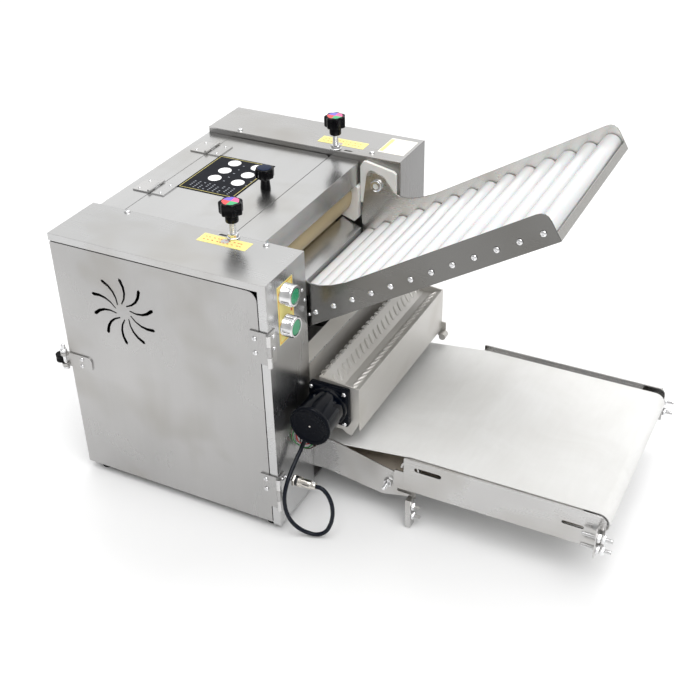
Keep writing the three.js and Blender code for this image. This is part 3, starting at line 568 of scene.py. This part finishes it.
def makeBelt():
    line = loopLine(belt["wheels"], belt["clearance"] + belt["thickness"] / 2, belt["arcStep"])
    line.append(line[0])
    freshStart()
    width = belt["far"] - belt["near"]
    middle = (belt["near"] + belt["far"]) / 2
    start = spot(line[0][0], middle, line[0][1])
    bpy.ops.mesh.primitive_plane_add(size=width / 1000, location=start)
    piece = settle("conveyorBelt")
    bpy.ops.object.mode_set(mode="EDIT")
    bpy.ops.mesh.select_mode(type="VERT")
    bpy.ops.mesh.select_all(action="DESELECT")
    mesh = bmesh.from_edit_mesh(piece.data)
    for vertex in mesh.verts:
        vertex.select_set(vertex.co.x > start.x)
    mesh.select_flush_mode()
    bmesh.update_edit_mesh(piece.data)
    bpy.ops.mesh.delete(type="VERT")
    bpy.ops.mesh.select_all(action="SELECT")
    bpy.ops.transform.translate(value=(width / 2000, 0, 0))
    for here, following in zip(line, line[1:]):
        shift = ((following[0] - here[0]) / 1000, 0, (following[1] - here[1]) / 1000)
        bpy.ops.mesh.extrude_edges_move(TRANSFORM_OT_translate={"value": shift})
    bpy.ops.object.mode_set(mode="OBJECT")
    faceOutwards(piece)
    coat(piece, cloth["belt"], cloth["back"])
    wall = piece.modifiers.new("thickness", "SOLIDIFY")
    wall.thickness = belt["thickness"] / 1000
    wall.offset = 0
    wall.material_offset = 1
    select(piece)
    bpy.ops.object.modifier_apply(modifier=wall.name)
    return softenEdges(piece, 0.35, 2, 50)


mount(makeBelt(), "frame", "canvas", "conveyor_belt")
print("belt made")


# Infeed tray rollers.
trayRoller = {
    "count": 14, "sides": 56,
    "rings": [(-2.3, 2.7), (0, 2.7), (0, 9.4), (0.35, 11.3), (1.2, 12.4), (2.6, 13), (277.2, 13),
              (278.6, 12.4), (279.45, 11.3), (279.8, 9.4), (279.8, 2.7), (282.1, 2.7)],
}
firstLow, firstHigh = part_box("tray_roller_01")
firstCentre = (firstLow + firstHigh) / 2
rollerFoot = Vector((firstCentre.x, spot(0, 109.1, 0).y, firstCentre.z))
oneRoller = coat(turned("trayRoller01", rollerFoot, (0, 1, 0), trayRoller["rings"], trayRoller["sides"]),
                 synthetic["roller"], metal["turned"])
stubEnds = (spot(0, 109.0, 0).y, spot(0, 389.0, 0).y)
paint(oneRoller, 1, lambda middle, normal: not stubEnds[0] < middle.y < stubEnds[1])
rollers = [oneRoller]
for number in range(2, trayRoller["count"] + 1):
    label = str(number).zfill(2)
    low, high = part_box("tray_roller_" + label)
    rollers.append(copyAt(oneRoller, "trayRoller" + label, (low + high) / 2 - firstCentre))
for number, piece in enumerate(rollers, 1):
    label = str(number).zfill(2)
    mount(piece, "tray_roller_" + label + "_body", "white_plastic", "tray_roller_" + label)
print("tray rollers made")


# Sheeting rollers.
sheeting = {
    "upper": {"x": 224, "z": 338, "rings": [(56, 12), (114, 12), (114, 35.6), (114.5, 36.6), (115.4, 37),
                                            (382.6, 37), (383.5, 36.6), (384, 35.6), (384, 12), (418, 12)]},
    "lower": {"x": 230, "z": 263, "rings": [(56, 12), (114, 12), (114, 35.6), (114.5, 36.6), (115.4, 37),
                                            (382.6, 37), (383.5, 36.6), (384, 35.6), (384, 12), (430, 12),
                                            (430, 43.4), (430.6, 44), (432, 44), (434, 39), (442, 39),
                                            (444, 44), (445.4, 44), (446, 43.4), (446, 12), (450, 12)]},
}
for level, finishes, body, slot in (
    ("upper", (synthetic["sleeve"], metal["turned"]), "upper_roller_set", "tan_sleeve"),
    ("lower", (metal["chrome"], metal["turned"]), "lower_roller_set", "chrome"),
):
    spec = sheeting[level]
    start = spec["rings"][0][0]
    rings = [(out - start, radius) for out, radius in spec["rings"]]
    piece = coat(turned(level + "Roller", spot(spec["x"], start, spec["z"]), (0, 1, 0), rings, 72), *finishes)
    sleeve = (spot(0, 114.2, 0).y, spot(0, 383.8, 0).y)
    paint(piece, 1, lambda middle, normal: not sleeve[0] < middle.y < sleeve[1])
    mount(piece, body, slot, level + "_roller")
print("sheeting rollers made")


# Thickness knobs: fluted heads with a coloured disc, on threaded studs.
thicknessKnob = {
    "near": (233, 93.5), "far": (224, 404.5), "lobes": 7, "fluteDepth": 2.4, "threadPitch": 1.5,
    "neck": [(424.2, 7.2), (424.8, 8.4), (426, 9), (435.2, 9), (436.2, 11.5), (436.6, 14.6), (437.4, 16.0),
             (438.6, 16.5), (451.4, 16.5), (452.8, 16.1), (453.6, 15.1), (454.0, 13.4), (454.0, 12.9),
             (453.5, 12.5)],
}


def flute(piece, x, y, fromHeight, lobes, depth, rimRadius):
    centre = spot(x, y, 0)
    for vertex in piece.data.vertices:
        across, along = vertex.co.x - centre.x, vertex.co.y - centre.y
        reach = math.hypot(across, along)
        if vertex.co.z < spot(0, 0, fromHeight).z or reach < 0.0125:
            continue
        wave = 0.5 - 0.5 * math.cos(lobes * math.atan2(along, across))
        share = (1 - depth * wave ** 0.8 / rimRadius)
        vertex.co.x = centre.x + across * share
        vertex.co.y = centre.y + along * share


def threadRings(start, end, outer, pitch):
    rings = []
    out = start
    while out + pitch < end:
        rings += [(out, outer - 0.45), (out + pitch * 0.45, outer), (out + pitch * 0.6, outer)]
        out += pitch
    return rings + [(end, outer - 0.45)]


# A flat disc in four coloured quarters, a hair above the head's dished top.
def pieDisc(name, place, radius, finishes):
    freshStart()
    bpy.ops.mesh.primitive_circle_add(vertices=32, radius=radius / 1000, fill_type="TRIFAN", location=place)
    disc = settle(name)
    bpy.ops.object.mode_set(mode="EDIT")
    bpy.ops.mesh.select_all(action="SELECT")
    bpy.ops.mesh.extrude_region_move(TRANSFORM_OT_translate={"value": (0, 0, 0.0003)})
    bpy.ops.object.mode_set(mode="OBJECT")
    faceOutwards(disc)
    coat(disc, *finishes)
    quarters = len(finishes)
    for face in disc.data.polygons:
        turnShare = math.atan2(face.center.y - place.y, face.center.x - place.x) / (2 * math.pi) + 0.5
        face.material_index = min(int(turnShare * quarters), quarters - 1)
    return disc


def makeThicknessKnob(side):
    x, y = thicknessKnob[side]
    neck = thicknessKnob["neck"]
    rings = [(out - neck[0][0], radius) for out, radius in neck]
    head = turned(side + "Head", spot(x, y, neck[0][0]), (0, 0, 1), rings, 84)
    flute(head, x, y, 435.8, thicknessKnob["lobes"], thicknessKnob["fluteDepth"], 16.5)
    smooth(coat(head, synthetic["knob"]), 34)
    thread = threadRings(0, 60, 4.6, thicknessKnob["threadPitch"])
    stud = coat(turned(side + "Stud", spot(x, y, 364.2), (0, 0, 1), thread, 24), metal["chrome"])
    washer = turned(side + "Washer", spot(x, y, 401.3), (0, 0, 1),
                    [(0, 8.4), (0.3, 8.8), (1.2, 8.8), (1.5, 8.4)], 32)
    lockNut = turned(side + "Nut", spot(x, y, 402.9), (0, 0, 1),
                     [(0, 7.0), (0.5, 7.7), (4.4, 7.7), (4.9, 7.0)], 6)
    quarters = (ink["scarlet"], ink["leaf"], ink["pink"], ink["violet"])
    disc = pieDisc(side + "Disc", spot(x, y, 453.6), 11.6, quarters)
    parts = [head, stud, coat(washer, metal["chrome"]), coat(lockNut, metal["chrome"]), disc]
    return joined(side + "ThicknessKnob", parts)


for side in ("near", "far"):
    mount(makeThicknessKnob(side), side + "_knob", "black_rubber", side + "_thickness_knob")

# Lid knob: a smaller fluted grip with a blue cap.
lidKnob = {
    "x": 186, "y": 257, "foot": 392.3, "lobes": 8, "fluteDepth": 1.5,
    "rings": [(0, 6.0), (0, 7.4), (1.0, 7.6), (12, 6.6), (14.5, 7.6), (16.4, 11.6), (17.4, 13.4), (18.6, 14),
              (28.4, 14), (29.8, 13.6), (30.8, 12.4), (31.2, 11.2)],
}
grip = turned("lidGrip", spot(lidKnob["x"], lidKnob["y"], lidKnob["foot"]), (0, 0, 1), lidKnob["rings"], 96)
flute(grip, lidKnob["x"], lidKnob["y"], 408, lidKnob["lobes"], lidKnob["fluteDepth"], 14)
smooth(coat(grip, synthetic["knob"]), 34)
capRings = [(0, 10.2), (0.5, 10.2), (0.8, 9.8), (0.9, 9.0)]
cap = coat(turned("lidKnobCap", spot(lidKnob["x"], lidKnob["y"], 423.4), (0, 0, 1), capRings, 40),
           ink["blue"])
mount(joined("lidKnob", [grip, cap]), "lid_panel", "black_rubber", "lid_knob")
print("knobs made")


# Push buttons and their plated bezels.
pushButton = {
    "run": {"y": 44, "z": 368, "node": "run_button"},
    "stop": {"y": 43, "z": 322, "node": "stop_button"},
    "bezel": [(0.3, 14.1), (0.3, 15.2), (1.6, 15.4), (2.8, 15.1), (3.4, 14.7), (14.6, 14.5), (16.0, 14.1),
              (16.8, 13.2), (16.8, 11.15), (16.3, 11.1), (16.3, 12.8), (15.6, 14.1), (0.3, 14.1)],
    "cap": [(5.2, 10.6), (15.0, 10.7), (15.8, 10.4), (16.3, 9.6), (16.5, 8.0), (16.3, 4.0), (16.2, 1.0)],
}
for name in ("run", "stop"):
    spec = pushButton[name]
    foot = spot(335, spec["y"], spec["z"])
    bezel = coat(turned(name + "Bezel", foot, (1, 0, 0), pushButton["bezel"], 56, True), metal["chrome"])
    mount(bezel, "frame", "chrome")
    cap = coat(turned(name + "Cap", foot, (1, 0, 0), pushButton["cap"], 48), synthetic["green"])
    stemFoot = spot(318, spec["y"], spec["z"])
    stem = coat(turned(name + "Stem", stemFoot, (1, 0, 0), [(0, 4), (23, 4)], 16), metal["turned"])
    mount(joined(name + "Button", [cap, stem]), name + "_cap", "green_plastic", spec["node"])
print("buttons made")


# Screws: one dome head and one hex nut, copied to every place.
dome = {"height": 0.62, "sides": 20}


def domeHead(name, radius, axis):
    high = radius * dome["height"]
    rings = [(0, radius), (high * 0.35, radius * 0.98), (high * 0.7, radius * 0.84),
             (high * 0.93, radius * 0.56),
             (high, radius * 0.36), (high, radius * 0.3), (high * 0.55, radius * 0.26)]
    head = turned(name, Vector(), axis, rings, dome["sides"])
    coat(head, metal["chrome"], metal["dark"])
    reach = high * 0.6
    way = Vector(axis)
    paint(head, 1, lambda middle, normal: middle.dot(way) > reach * 0.8 and normal.dot(way) > 0.95
          and (middle - way * middle.dot(way)).length < radius * 0.2)
    return head


def scatter(name, model, places):
    copies = [copyAt(model, name + "Part" + str(index), place) for index, place in enumerate(places)]
    bpy.data.objects.remove(model)
    return joined(name, copies)


def hexNut(name, radius, thick, axis):
    rings = [(0, radius * 0.94), (thick * 0.12, radius), (thick * 0.88, radius), (thick, radius * 0.94),
             (thick, radius * 0.6)]
    return coat(turned(name, Vector(), axis, rings, 6), metal["chrome"])


firstRoller, pitch, slope = (290.4, 274.7), 32, math.radians(31.4)


def alongTray(distance, y):
    return spot(firstRoller[0] + distance * math.cos(slope), y, firstRoller[1] + distance * math.sin(slope))


screwSets = {
    "nearTrayScrews": (4.3, (0, -1, 0), "tray", [alongTray(pitch * n, 106.25) for n in range(2, 14)]),
    "farTrayScrews": (4.3, (0, 1, 0), "tray", [alongTray(pitch * n, 391.75) for n in range(2, 14)]),
    "nearTrayBolt": (2.6, (0, -1, 0), "tray", [alongTray(pitch * 2 - 12, 106.25)]),
    "topScrews": (4.6, (0, 0, 1), "frame",
                  [spot(x, y, 401.0) for x, y in ((61, 96), (283, 93), (53, 407), (281, 413))]),
    "doorHingeScrews": (3.5, (0, -1, 0), "door",
                        [spot(x, -2.1, z) for x, z in ((315.5, 321.5), (315.5, 300), (317, 92),
                                                       (317, 74.5))]),
    "leafScrews": (3.2, (1, 0, 0), "frame", [spot(336.9, 9.5, z) for z in (324, 306, 90, 66)]),
    "latchScrews": (3.2, (0, -1, 0), "door", [spot(23, -2, 205), spot(22, -2, 193.5)]),
    "faceBolts": (2.4, (1, 0, 0), "frame", [spot(335, 90, 348), spot(335, 96, 330)]),
    "lidLeafScrews": (2.1, (0, 0, 1), "lid_panel",
                      [spot(58, y, 393.6) for y in (178, 204, 328, 354)]),
    "coverLeafScrews": (2.1, (0, 0, 1), "frame",
                        [spot(22, y, 393.9) for y in (178, 204, 328, 354)]),
    "flangeScrews": (3.2, (0, -1, 0), "frame",
                     [spot(368 + dx, 89, 173 + dz) for dx in (-25, 25) for dz in (-25, 25)]),
    "farCoverScrews": (3.6, (0, 1, 0), "frame",
                       [spot(x, 486.9, z) for x in (24, 311) for z in (38, 206, 374)]),
}
for name, (radius, axis, body, places) in screwSets.items():
    mount(scatter(name, domeHead(name + "Model", radius, axis), places), body, "chrome")

pivotBolts = {"x": 300, "z": 361, "near": (108.3, 1), "far": (389.7, -1)}
for side in ("near", "far"):
    start, way = pivotBolts[side]
    rings = [(0, 8.9), (0.4, 9.2), (3.6, 9.2), (4.3, 8.6), (4.6, 7.2), (4.6, 4.4), (3.4, 4.2)]
    head = turned(side + "PivotBolt", spot(pivotBolts["x"], start, pivotBolts["z"]), (0, way, 0), rings, 40)
    coat(head, metal["chrome"], metal["dark"])
    recess = spot(0, start + way * 3.4, 0).y
    paint(head, 1, lambda middle, normal: abs(normal.y) > 0.9 and abs(middle.y - recess) < 0.0003)
    mount(head, "frame", "chrome")
print("screws placed")


# Nuts and levelling bolts of the conveyor.
nutSets = {
    "studNuts": (6.2, 4.0, (1, 0, 0), [spot(496.4, y, z) for y in (90, 408) for z in (37.5, 21)]),
    "tensionNuts": (6.6, 4.2, (1, 0, 0),
                    [spot(x, y, z) for x in (758.4, 764.5) for y in (84, 414) for z in (89, 70)]),
    "nearAxleNut": (6.6, 4.6, (0, -1, 0), [spot(455, 100.2, 59)]),
    "farAxleNut": (6.6, 4.6, (0, 1, 0), [spot(455, 397.8, 59)]),
}
for name, (radius, thick, axis, places) in nutSets.items():
    mount(scatter(name, hexNut(name + "Model", radius, thick, axis), places), "frame", "chrome")

axleStud = {"radius": 3.0, "pitch": 1.2}
for side, start, way in (("near", 100.0, -1), ("far", 398.0, 1)):
    rings = threadRings(0, 17, axleStud["radius"], axleStud["pitch"])
    stud = turned(side + "AxleStud", spot(455, start, 59), (0, way, 0), rings, 18)
    mount(coat(stud, metal["chrome"]), "frame", "chrome")

tensionBolt = {"radius": 2.95, "pitch": 1.2, "from": 737.2, "to": 777.8}
boltRings = threadRings(0, tensionBolt["to"] - tensionBolt["from"], tensionBolt["radius"],
                        tensionBolt["pitch"])
boltModel = coat(turned("tensionBoltModel", Vector(), (1, 0, 0), boltRings, 16), metal["chrome"])
places = [spot(tensionBolt["from"], y, z) for y in (84, 414) for z in (89, 70)]
mount(scatter("tensionBolts", boltModel, places), "frame", "chrome")
print("conveyor fasteners placed")


# Duster motor: enamelled can with a dished end disc on a square flange.
dusterMotor = {
    "x": 368, "z": 173,
    "rings": [(35.6, 1.2), (36.4, 1.2), (36.4, 23.4), (35.9, 24.4), (35.3, 25.2), (35.0, 26.2), (35.0, 28.6),
              (35.3, 29.5), (36.2, 30), (39.8, 30), (40.7, 29.6), (41.2, 28.4), (41.6, 28.0), (84.6, 28.0),
              (86.0, 27.4), (86.4, 26.2), (90.0, 26.2)],
}
rings = [(out - 35, radius) for out, radius in dusterMotor["rings"]]
can = turned("motorCan", spot(dusterMotor["x"], 35, dusterMotor["z"]), (0, 1, 0), rings, 80)
coat(can, synthetic["gloss"], synthetic["matt"], metal["nickel"])
paint(can, 1, lambda middle, normal: middle.y < spot(0, 37, 0).y)
axle = spot(dusterMotor["x"], 0, dusterMotor["z"])
paint(can, 2, lambda middle, normal: middle.y < spot(0, 36.2, 0).y and
      math.hypot(middle.x - axle.x, middle.z - axle.z) < 0.0013)
flange = coat(block("motorFlange", (338, 89, 143), (398, 101.2, 203), 3.0, 3), synthetic["matt"])
collarFoot = spot(dusterMotor["x"], 84.5, dusterMotor["z"])
collar = turned("motorCollar", collarFoot, (0, 1, 0), [(0, 26.5), (0, 28.9), (0.6, 29.4), (4.8, 29.4)], 64)
gland = turned("motorGland", spot(349, 54, 142), (0, 0, 1), [(0, 3.6), (0.4, 4.2), (7, 5), (17, 5),
                                                             (18, 4.6)], 28)
parts = [can, flange, coat(collar, synthetic["gloss"]), coat(gland, synthetic["rubber"])]
mount(joined("dusterMotor", parts), "frame", "black_gloss", "duster_motor")
print("duster motor made")


# Duster trough: rim tabs and pressed louvres.
trough = {
    "start": (350.5, 208), "pull": (378, 179.5), "end": (408.5, 203), "near": 101.5, "far": 396.5,
    "tabs": 20, "rearLouvres": 20, "frontLouvres": 21,
}


def troughPoint(share):
    (x0, z0), (x1, z1), (x2, z2) = trough["start"], trough["pull"], trough["end"]
    rest = 1 - share
    x = rest * rest * x0 + 2 * rest * share * x1 + share * share * x2
    z = rest * rest * z0 + 2 * rest * share * z1 + share * share * z2
    dx = 2 * rest * (x1 - x0) + 2 * share * (x2 - x1)
    dz = 2 * rest * (z1 - z0) + 2 * share * (z2 - z1)
    size = math.hypot(dx, dz)
    return x, z, dx / size, dz / size


# A low pressed rib: the upper half of a long flattened dome.
def louvreModel(name, length, width, height):
    freshStart()
    bpy.ops.mesh.primitive_uv_sphere_add(segments=16, ring_count=10, radius=1)
    bpy.context.object.scale = (length / 2000, width / 1000, height / 1000)
    piece = settle(name)
    bpy.ops.object.mode_set(mode="EDIT")
    bpy.ops.mesh.select_all(action="SELECT")
    bpy.ops.mesh.bisect(plane_co=(0, 0, -0.0001), plane_no=(0, 0, 1), clear_inner=True, use_fill=True)
    bpy.ops.object.mode_set(mode="OBJECT")
    faceOutwards(piece)
    return smooth(coat(piece, steel["duster"]), 40)


def pressLouvres(name, model, share, count, firstY, lastY, lean):
    x, z, dx, dz = troughPoint(share)
    along, across = Vector((dx, 0, dz)), Vector((0, 1, 0))
    up = Vector((-dz, 0, dx))
    leaning = (along + across * lean).normalized()
    model.data.transform(Matrix((leaning, up.cross(leaning), up)).transposed().to_4x4())
    step = (lastY - firstY) / (count - 1)
    places = [spot(x, firstY + step * index, z + 0.1) for index in range(count)]
    return mount(scatter(name, model, places), "frame", "stainless")


pressLouvres("rearLouvres", louvreModel("rearLouvreModel", 24, 3.2, 1.7), 0.27,
             trough["rearLouvres"], 118, 388, -0.85)
pressLouvres("frontLouvres", louvreModel("frontLouvreModel", 19, 2.6, 2.8), 0.8,
             trough["frontLouvres"], 112, 386, 1.25)

tabStep = (trough["far"] - trough["near"] - 12) / trough["tabs"]
tab = coat(block("tabModel", (347.4, 108, 207.4), (352.8, 108 + tabStep * 0.6, 209.2), 0.2), steel["leaf"])
tabs = [copyAt(tab, "rimTab" + str(index), Vector((0, tabStep * index / 1000,
                                                   0))) for index in range(trough["tabs"])]
bpy.data.objects.remove(tab)
mount(joined("rimTabs", tabs), "frame", "stainless")

foldLine = coat(block("apronFold", (332.4, 100.6, 224.9), (335.3, 397.4, 226.6), 0.5), metal["turned"])
mount(foldLine, "frame", "stainless")
print("duster trough pressed")


# Door latch: a plated pin through two collars, with a rubber roller on its arm.
latch = {"x": -7, "y": -3, "rollerX": -14.5, "rollerY": -2}
pinRings = [(185.9, 1.6), (186.4, 2.8), (187.2, 3.3), (222.0, 3.3), (223.4, 2.7), (224.0, 1.5)]
collarRings = [(0, 4.4), (0.5, 5), (4, 5), (4.5, 4.4)]
rollerRings = [(0, 3.0), (0, 6.9), (0.6, 7.5), (4.6, 7.5), (5.2, 7.2), (6.8, 7.2), (7.4, 7.5), (11.4, 7.5),
               (12, 6.9), (12, 3.0), (11.4, 2.8)]
pinFoot = spot(latch["x"], latch["y"], pinRings[0][0])
pin = turned("latchPin", pinFoot, (0, 0, 1), [(out - pinRings[0][0], radius) for out, radius in pinRings], 28)
parts = [coat(pin, metal["chrome"])]
for number, height in enumerate((183.0, 211.5)):
    ring = turned("latchCollar" + str(number), spot(latch["x"], latch["y"], height), (0, 0, 1), collarRings,
                  28)
    parts.append(coat(ring, metal["chrome"]))
wheel = turned("latchRoller", spot(latch["rollerX"], latch["rollerY"], 193.5), (0, 0, 1), rollerRings, 36)
parts.append(coat(wheel, synthetic["rubber"]))
parts.append(coat(block("latchArm", (-13.8, -5.9, 194.6), (-7, -0.4, 204.4), 0.8), metal["chrome"]))
mount(joined("doorLatch", parts), "latch", "chrome", "door_latch")
print("latch made")


# Printed labels and the lid's instruction panel, with generic marks only.
def film(name, low, high, faces, insets, finishes):
    piece = block(name, low, high, 0)
    normal = Vector(faces)
    pickFaces(piece, lambda middle, direction: direction.dot(normal) > 0.9)
    for width in insets:
        bpy.ops.mesh.inset(thickness=width / 1000)
    bpy.ops.object.mode_set(mode="OBJECT")
    coat(piece, *finishes)
    return piece


# Faces of a film that lie within a margin from its outline take another finish.
def frameFilm(piece, faces, bands):
    lows = [min(vertex.co[axis] for vertex in piece.data.vertices) for axis in range(3)]
    highs = [max(vertex.co[axis] for vertex in piece.data.vertices) for axis in range(3)]
    flat = [axis for axis in range(3) if abs(faces[axis]) < 0.5]
    for face in piece.data.polygons:
        if face.normal.dot(Vector(faces)) < 0.9:
            continue
        corners = [piece.data.vertices[index].co for index in face.vertices]
        margins = [highs[axis] - max(corner[axis] for corner in corners) for axis in flat]
        margins += [min(corner[axis] for corner in corners) - lows[axis] for axis in flat]
        for margin, index in bands:
            if min(margins) < margin / 1000:
                face.material_index = index
                break
    return piece


def marks(name, places, size, finish):
    bars = [block(name + str(index), place, [place[axis] + size[axis] for axis in range(3)], 0)
            for index, place in enumerate(places)]
    return [coat(bar, finish) for bar in bars]


def labelMarks(name, x0, x1, y0, y1, z, rows, finish, seed):
    places = []
    for row in range(rows):
        x = x0
        y = y0 + (y1 - y0) * (row + 0.5) / rows
        step = 0
        while x < x1 - 3:
            places.append((x, y - 0.7, z))
            step += 1
            x += 4.2 + (seed * (row + 3) * (step + 1) % 5) * 0.9
    return marks(name, places, (2.6, 1.4, 0.15), finish)


def makeTopLabel(name, low, high, base, markFinish, seed):
    piece = film(name, low, high, (0, 0, 1), [1.0], (base, markFinish))
    parts = [piece] + labelMarks(name + "Mark", low[0] + 6, high[0] - 6, low[1] + 4, high[1] - 4,
                                 high[2] - 0.02, 2,
                                 markFinish, seed)
    return mount(joined(name, parts), "frame", "yellow_label")


makeTopLabel("nearTopLabel", (192, 67, 401.02), (266, 89, 401.2), ink["yellow"], ink["red"], 7)
makeTopLabel("farTopLabel", (185, 418, 401.02), (263, 441, 401.2), ink["yellow"], ink["red"], 4)
makeTopLabel("ratingLabel", (286, 421, 401.02), (329, 476, 401.2), ink["paper"], ink["grey"], 3)
stripe = coat(block("ratingStripe", (287, 425, 401.18), (293, 472, 401.28), 0), ink["yellow"])
mount(stripe, "frame", "yellow_label")
for side, (x, y) in {"near": (229, 79.5), "far": (220.5, 421.5)}.items():
    rings = [(0, 6.2), (0.12, 6.2), (0.16, 5.9)]
    window = coat(turned(side + "LabelWindow", spot(x, y, 401.14), (0, 0, 1), rings, 32), steel["leaf"])
    mount(window, "frame", "stainless")

backPlate = film("buttonPlate", (335.02, 27, 298.5), (335.28, 66, 384), (1, 0, 0), [1.6, 1.3],
                 (ink["yellow"], ink["orange"]))
frameFilm(backPlate, (1, 0, 0), [(0.5, 0), (2.0, 1)])
arrowPlaces = [(335.26, 58.5, height) for height in (350, 342, 334)]
arrows = marks("plateMark", arrowPlaces, (0.15, 3.2, 4.5), ink["red"])
mount(joined("buttonPlate", [backPlate] + arrows), "frame", "yellow_label")

panel = {
    "low": (66, 207, 392.02), "high": (162, 327, 392.5),
    "discs": [(x, y) for x in (101.5, 141) for y in (254, 282, 310)],
}
board = film("lidPanel", panel["low"], panel["high"], (0, 0, 1), [2.6, 1.1], (ink["black"], ink["gold"]))
frameFilm(board, (0, 0, 1), [(1.0, 0), (3.0, 1)])
parts = [board]
for number, (x, y) in enumerate(panel["discs"]):
    rings = [(0, 9.7), (0.1, 10), (0.25, 9.9), (0.3, 9.6)]
    parts.append(coat(turned("panelDisc" + str(number), spot(x, y, 392.45), (0, 0, 1), rings, 40),
                      ink["white"]))
places = []
for row in range(5):
    for column in range(9):
        if (row * 5 + column * 3) % 7:
            places.append((80 + column * 8.2, 215 + row * 4.6, 392.45))
for x in (118, 156):
    for y in (250, 264, 278, 292, 306):
        places.append((x, y, 392.45))
parts += marks("panelMark", places, (2.6, 1.5, 0.15), ink["grey"])
mount(joined("instructionPanel", parts), "lid_panel", "panel_black")
print("labels made")


# Dark seal in the gap round the lid.
seal = {"low": 389.72, "high": 390.4}
strips = [((217.2, 101.2), (219.6, 396.8)), ((50, 100.5), (217.2, 102.1)), ((50, 395.9), (217.2, 397.5))]
sealParts = [block("lidSeal" + str(index), (*start, seal["low"]), (*end, seal["high"]), 0.1, 1)
             for index, (start, end) in enumerate(strips)]
mount(joined("lidSeal", [coat(part, synthetic["rubber"]) for part in sealParts]), "frame", "black_rubber")

# Power inlet on the far housing's rear wall.
inlet = {"low": (-2.2, 424, 54), "high": (0, 460, 86)}
shell = block("powerInlet", inlet["low"], inlet["high"], 0)
pickFaces(shell, lambda middle, normal: normal.x < -0.9)
bpy.ops.mesh.inset(thickness=0.0065)
bpy.ops.transform.translate(value=(0.0019, 0, 0))
bpy.ops.object.mode_set(mode="OBJECT")
softenEdges(coat(shell, synthetic["rubber"]), 0.5)
pins = [block("inletPin" + str(index), (-1.9, y, z), (-0.2, y + 2.2, z + 5), 0.2)
        for index, (y, z) in enumerate(((434, 66), (441, 71), (448, 66)))]
pins = [coat(contact, metal["chrome"]) for contact in pins]
mount(joined("powerInlet", [shell] + pins), "frame", "black_rubber")

# Rubber feet over the pan's four pads.
foot = {
    "rings": [(0.0, 8.6), (0.5, 9.6), (3.5, 10.2), (8.6, 10.2), (10.2, 9.4)],
    "places": [(22, 18), (313, 18), (22, 470), (313, 470)],
}
footModel = coat(turned("footModel", Vector(), (0, 0, 1), foot["rings"], 32), synthetic["rubber"])
mount(scatter("rubberFeet", footModel, [spot(x, y, 0.05) for x, y in foot["places"]]), "frame",
      "black_rubber")
print("inlet and feet made")


# Finishes of the CAD nodes that keep their own shape.
dress(steel["housing"], "near_housing")
dress(steel["farHousing"], "far_housing")
dress(steel["door"], "near_door", "far_side_cover")
dress(steel["lid"], "lid", "centre_cover")
dress(steel["leaf"], "lid_hinge_near", "lid_hinge_far", "door_hinge_upper", "door_hinge_lower")
dress(steel["plate"], "near_side_plate", "far_side_plate", "base_pan")
dress(steel["tray"], "infeed_tray")
dress(steel["lid"], "feed_plate")
dress(steel["duster"], "duster_box")
dress(steel["table"], "conveyor_arms", "conveyor_frame")
dress(synthetic["block"], "near_cheek", "far_cheek", "near_pivot_block", "far_pivot_block", "duster_agitator")
dress(metal["turned"], "upper_gear", "lower_gear", "motor_pulley", "belt_drive_roller", "belt_return_roller",
      "belt_nose_roller", "near_bearing_block", "far_bearing_block")
dress(metal["cast"], "main_motor")
dress(synthetic["rubber"], "drive_belt")
print("frame dressed")


# Studio: pale floor, soft sky, one soft sun and one long soft box.
def makeStudio():
    freshStart()
    bpy.ops.mesh.primitive_plane_add(size=24, location=(0, 0, -0.0002))
    floor = bpy.context.object
    floor.name = "studioFloor"
    finish, tree, shader = newFinish("paleFloor", Roughness=0.22)
    shader.inputs["Specular IOR Level"].default_value = 0.35
    patch = noise(tree, (0.7, 0.7, 0.7), 2)
    tint = blendColour(tree, spread(tree, patch, 0, 1), shade((0.86, 0.86, 0.865)), shade((0.88, 0.88, 0.88)))
    tree.links.new(tint, shader.inputs["Base Color"])
    coat(floor, finish)

    world = bpy.data.worlds.new("softStudio")
    scene.world = world
    world.use_nodes = True
    tree = world.node_tree
    direction = addNode(tree, "TexCoord").outputs["Generated"]
    window = Vector(light["window"]).normalized()
    toward = addNode(tree, "VectorMath", {0: direction, 1: window}, operation="DOT_PRODUCT").outputs["Value"]
    glow = spread(tree, toward, light["dim"], light["bright"], 0.35, 0.95)
    patches = addNode(tree, "TexNoise", {"Vector": direction, "Scale": 1.7, "Detail": 1.0})
    strength = combine(tree, "MULTIPLY", glow, spread(tree, patches.outputs["Fac"], 0.8, 1.2))
    background = tree.nodes["Background"]
    background.inputs["Color"].default_value = (1, 1, 0.995, 1)
    tree.links.new(strength, background.inputs["Strength"])

    sunTurn = [math.radians(angle) for angle in light["sunTurn"]]
    bpy.ops.object.light_add(type="SUN", rotation=sunTurn, location=(0, 0, 3))
    sun = bpy.context.object.data
    sun.energy = light["sunPower"]
    sun.angle = math.radians(light["sunAngle"])
    place = spot(*light["boxPlace"])
    aim = (spot(420, 250, 250) - place).to_track_quat("-Z", "Y").to_euler()
    bpy.ops.object.light_add(type="AREA", location=place, rotation=aim)
    softBox = bpy.context.object.data
    softBox.shape = "RECTANGLE"
    softBox.size, softBox.size_y = light["boxSize"]
    softBox.energy = light["boxPower"]


makeStudio()
print("studio lit")

freshStart()
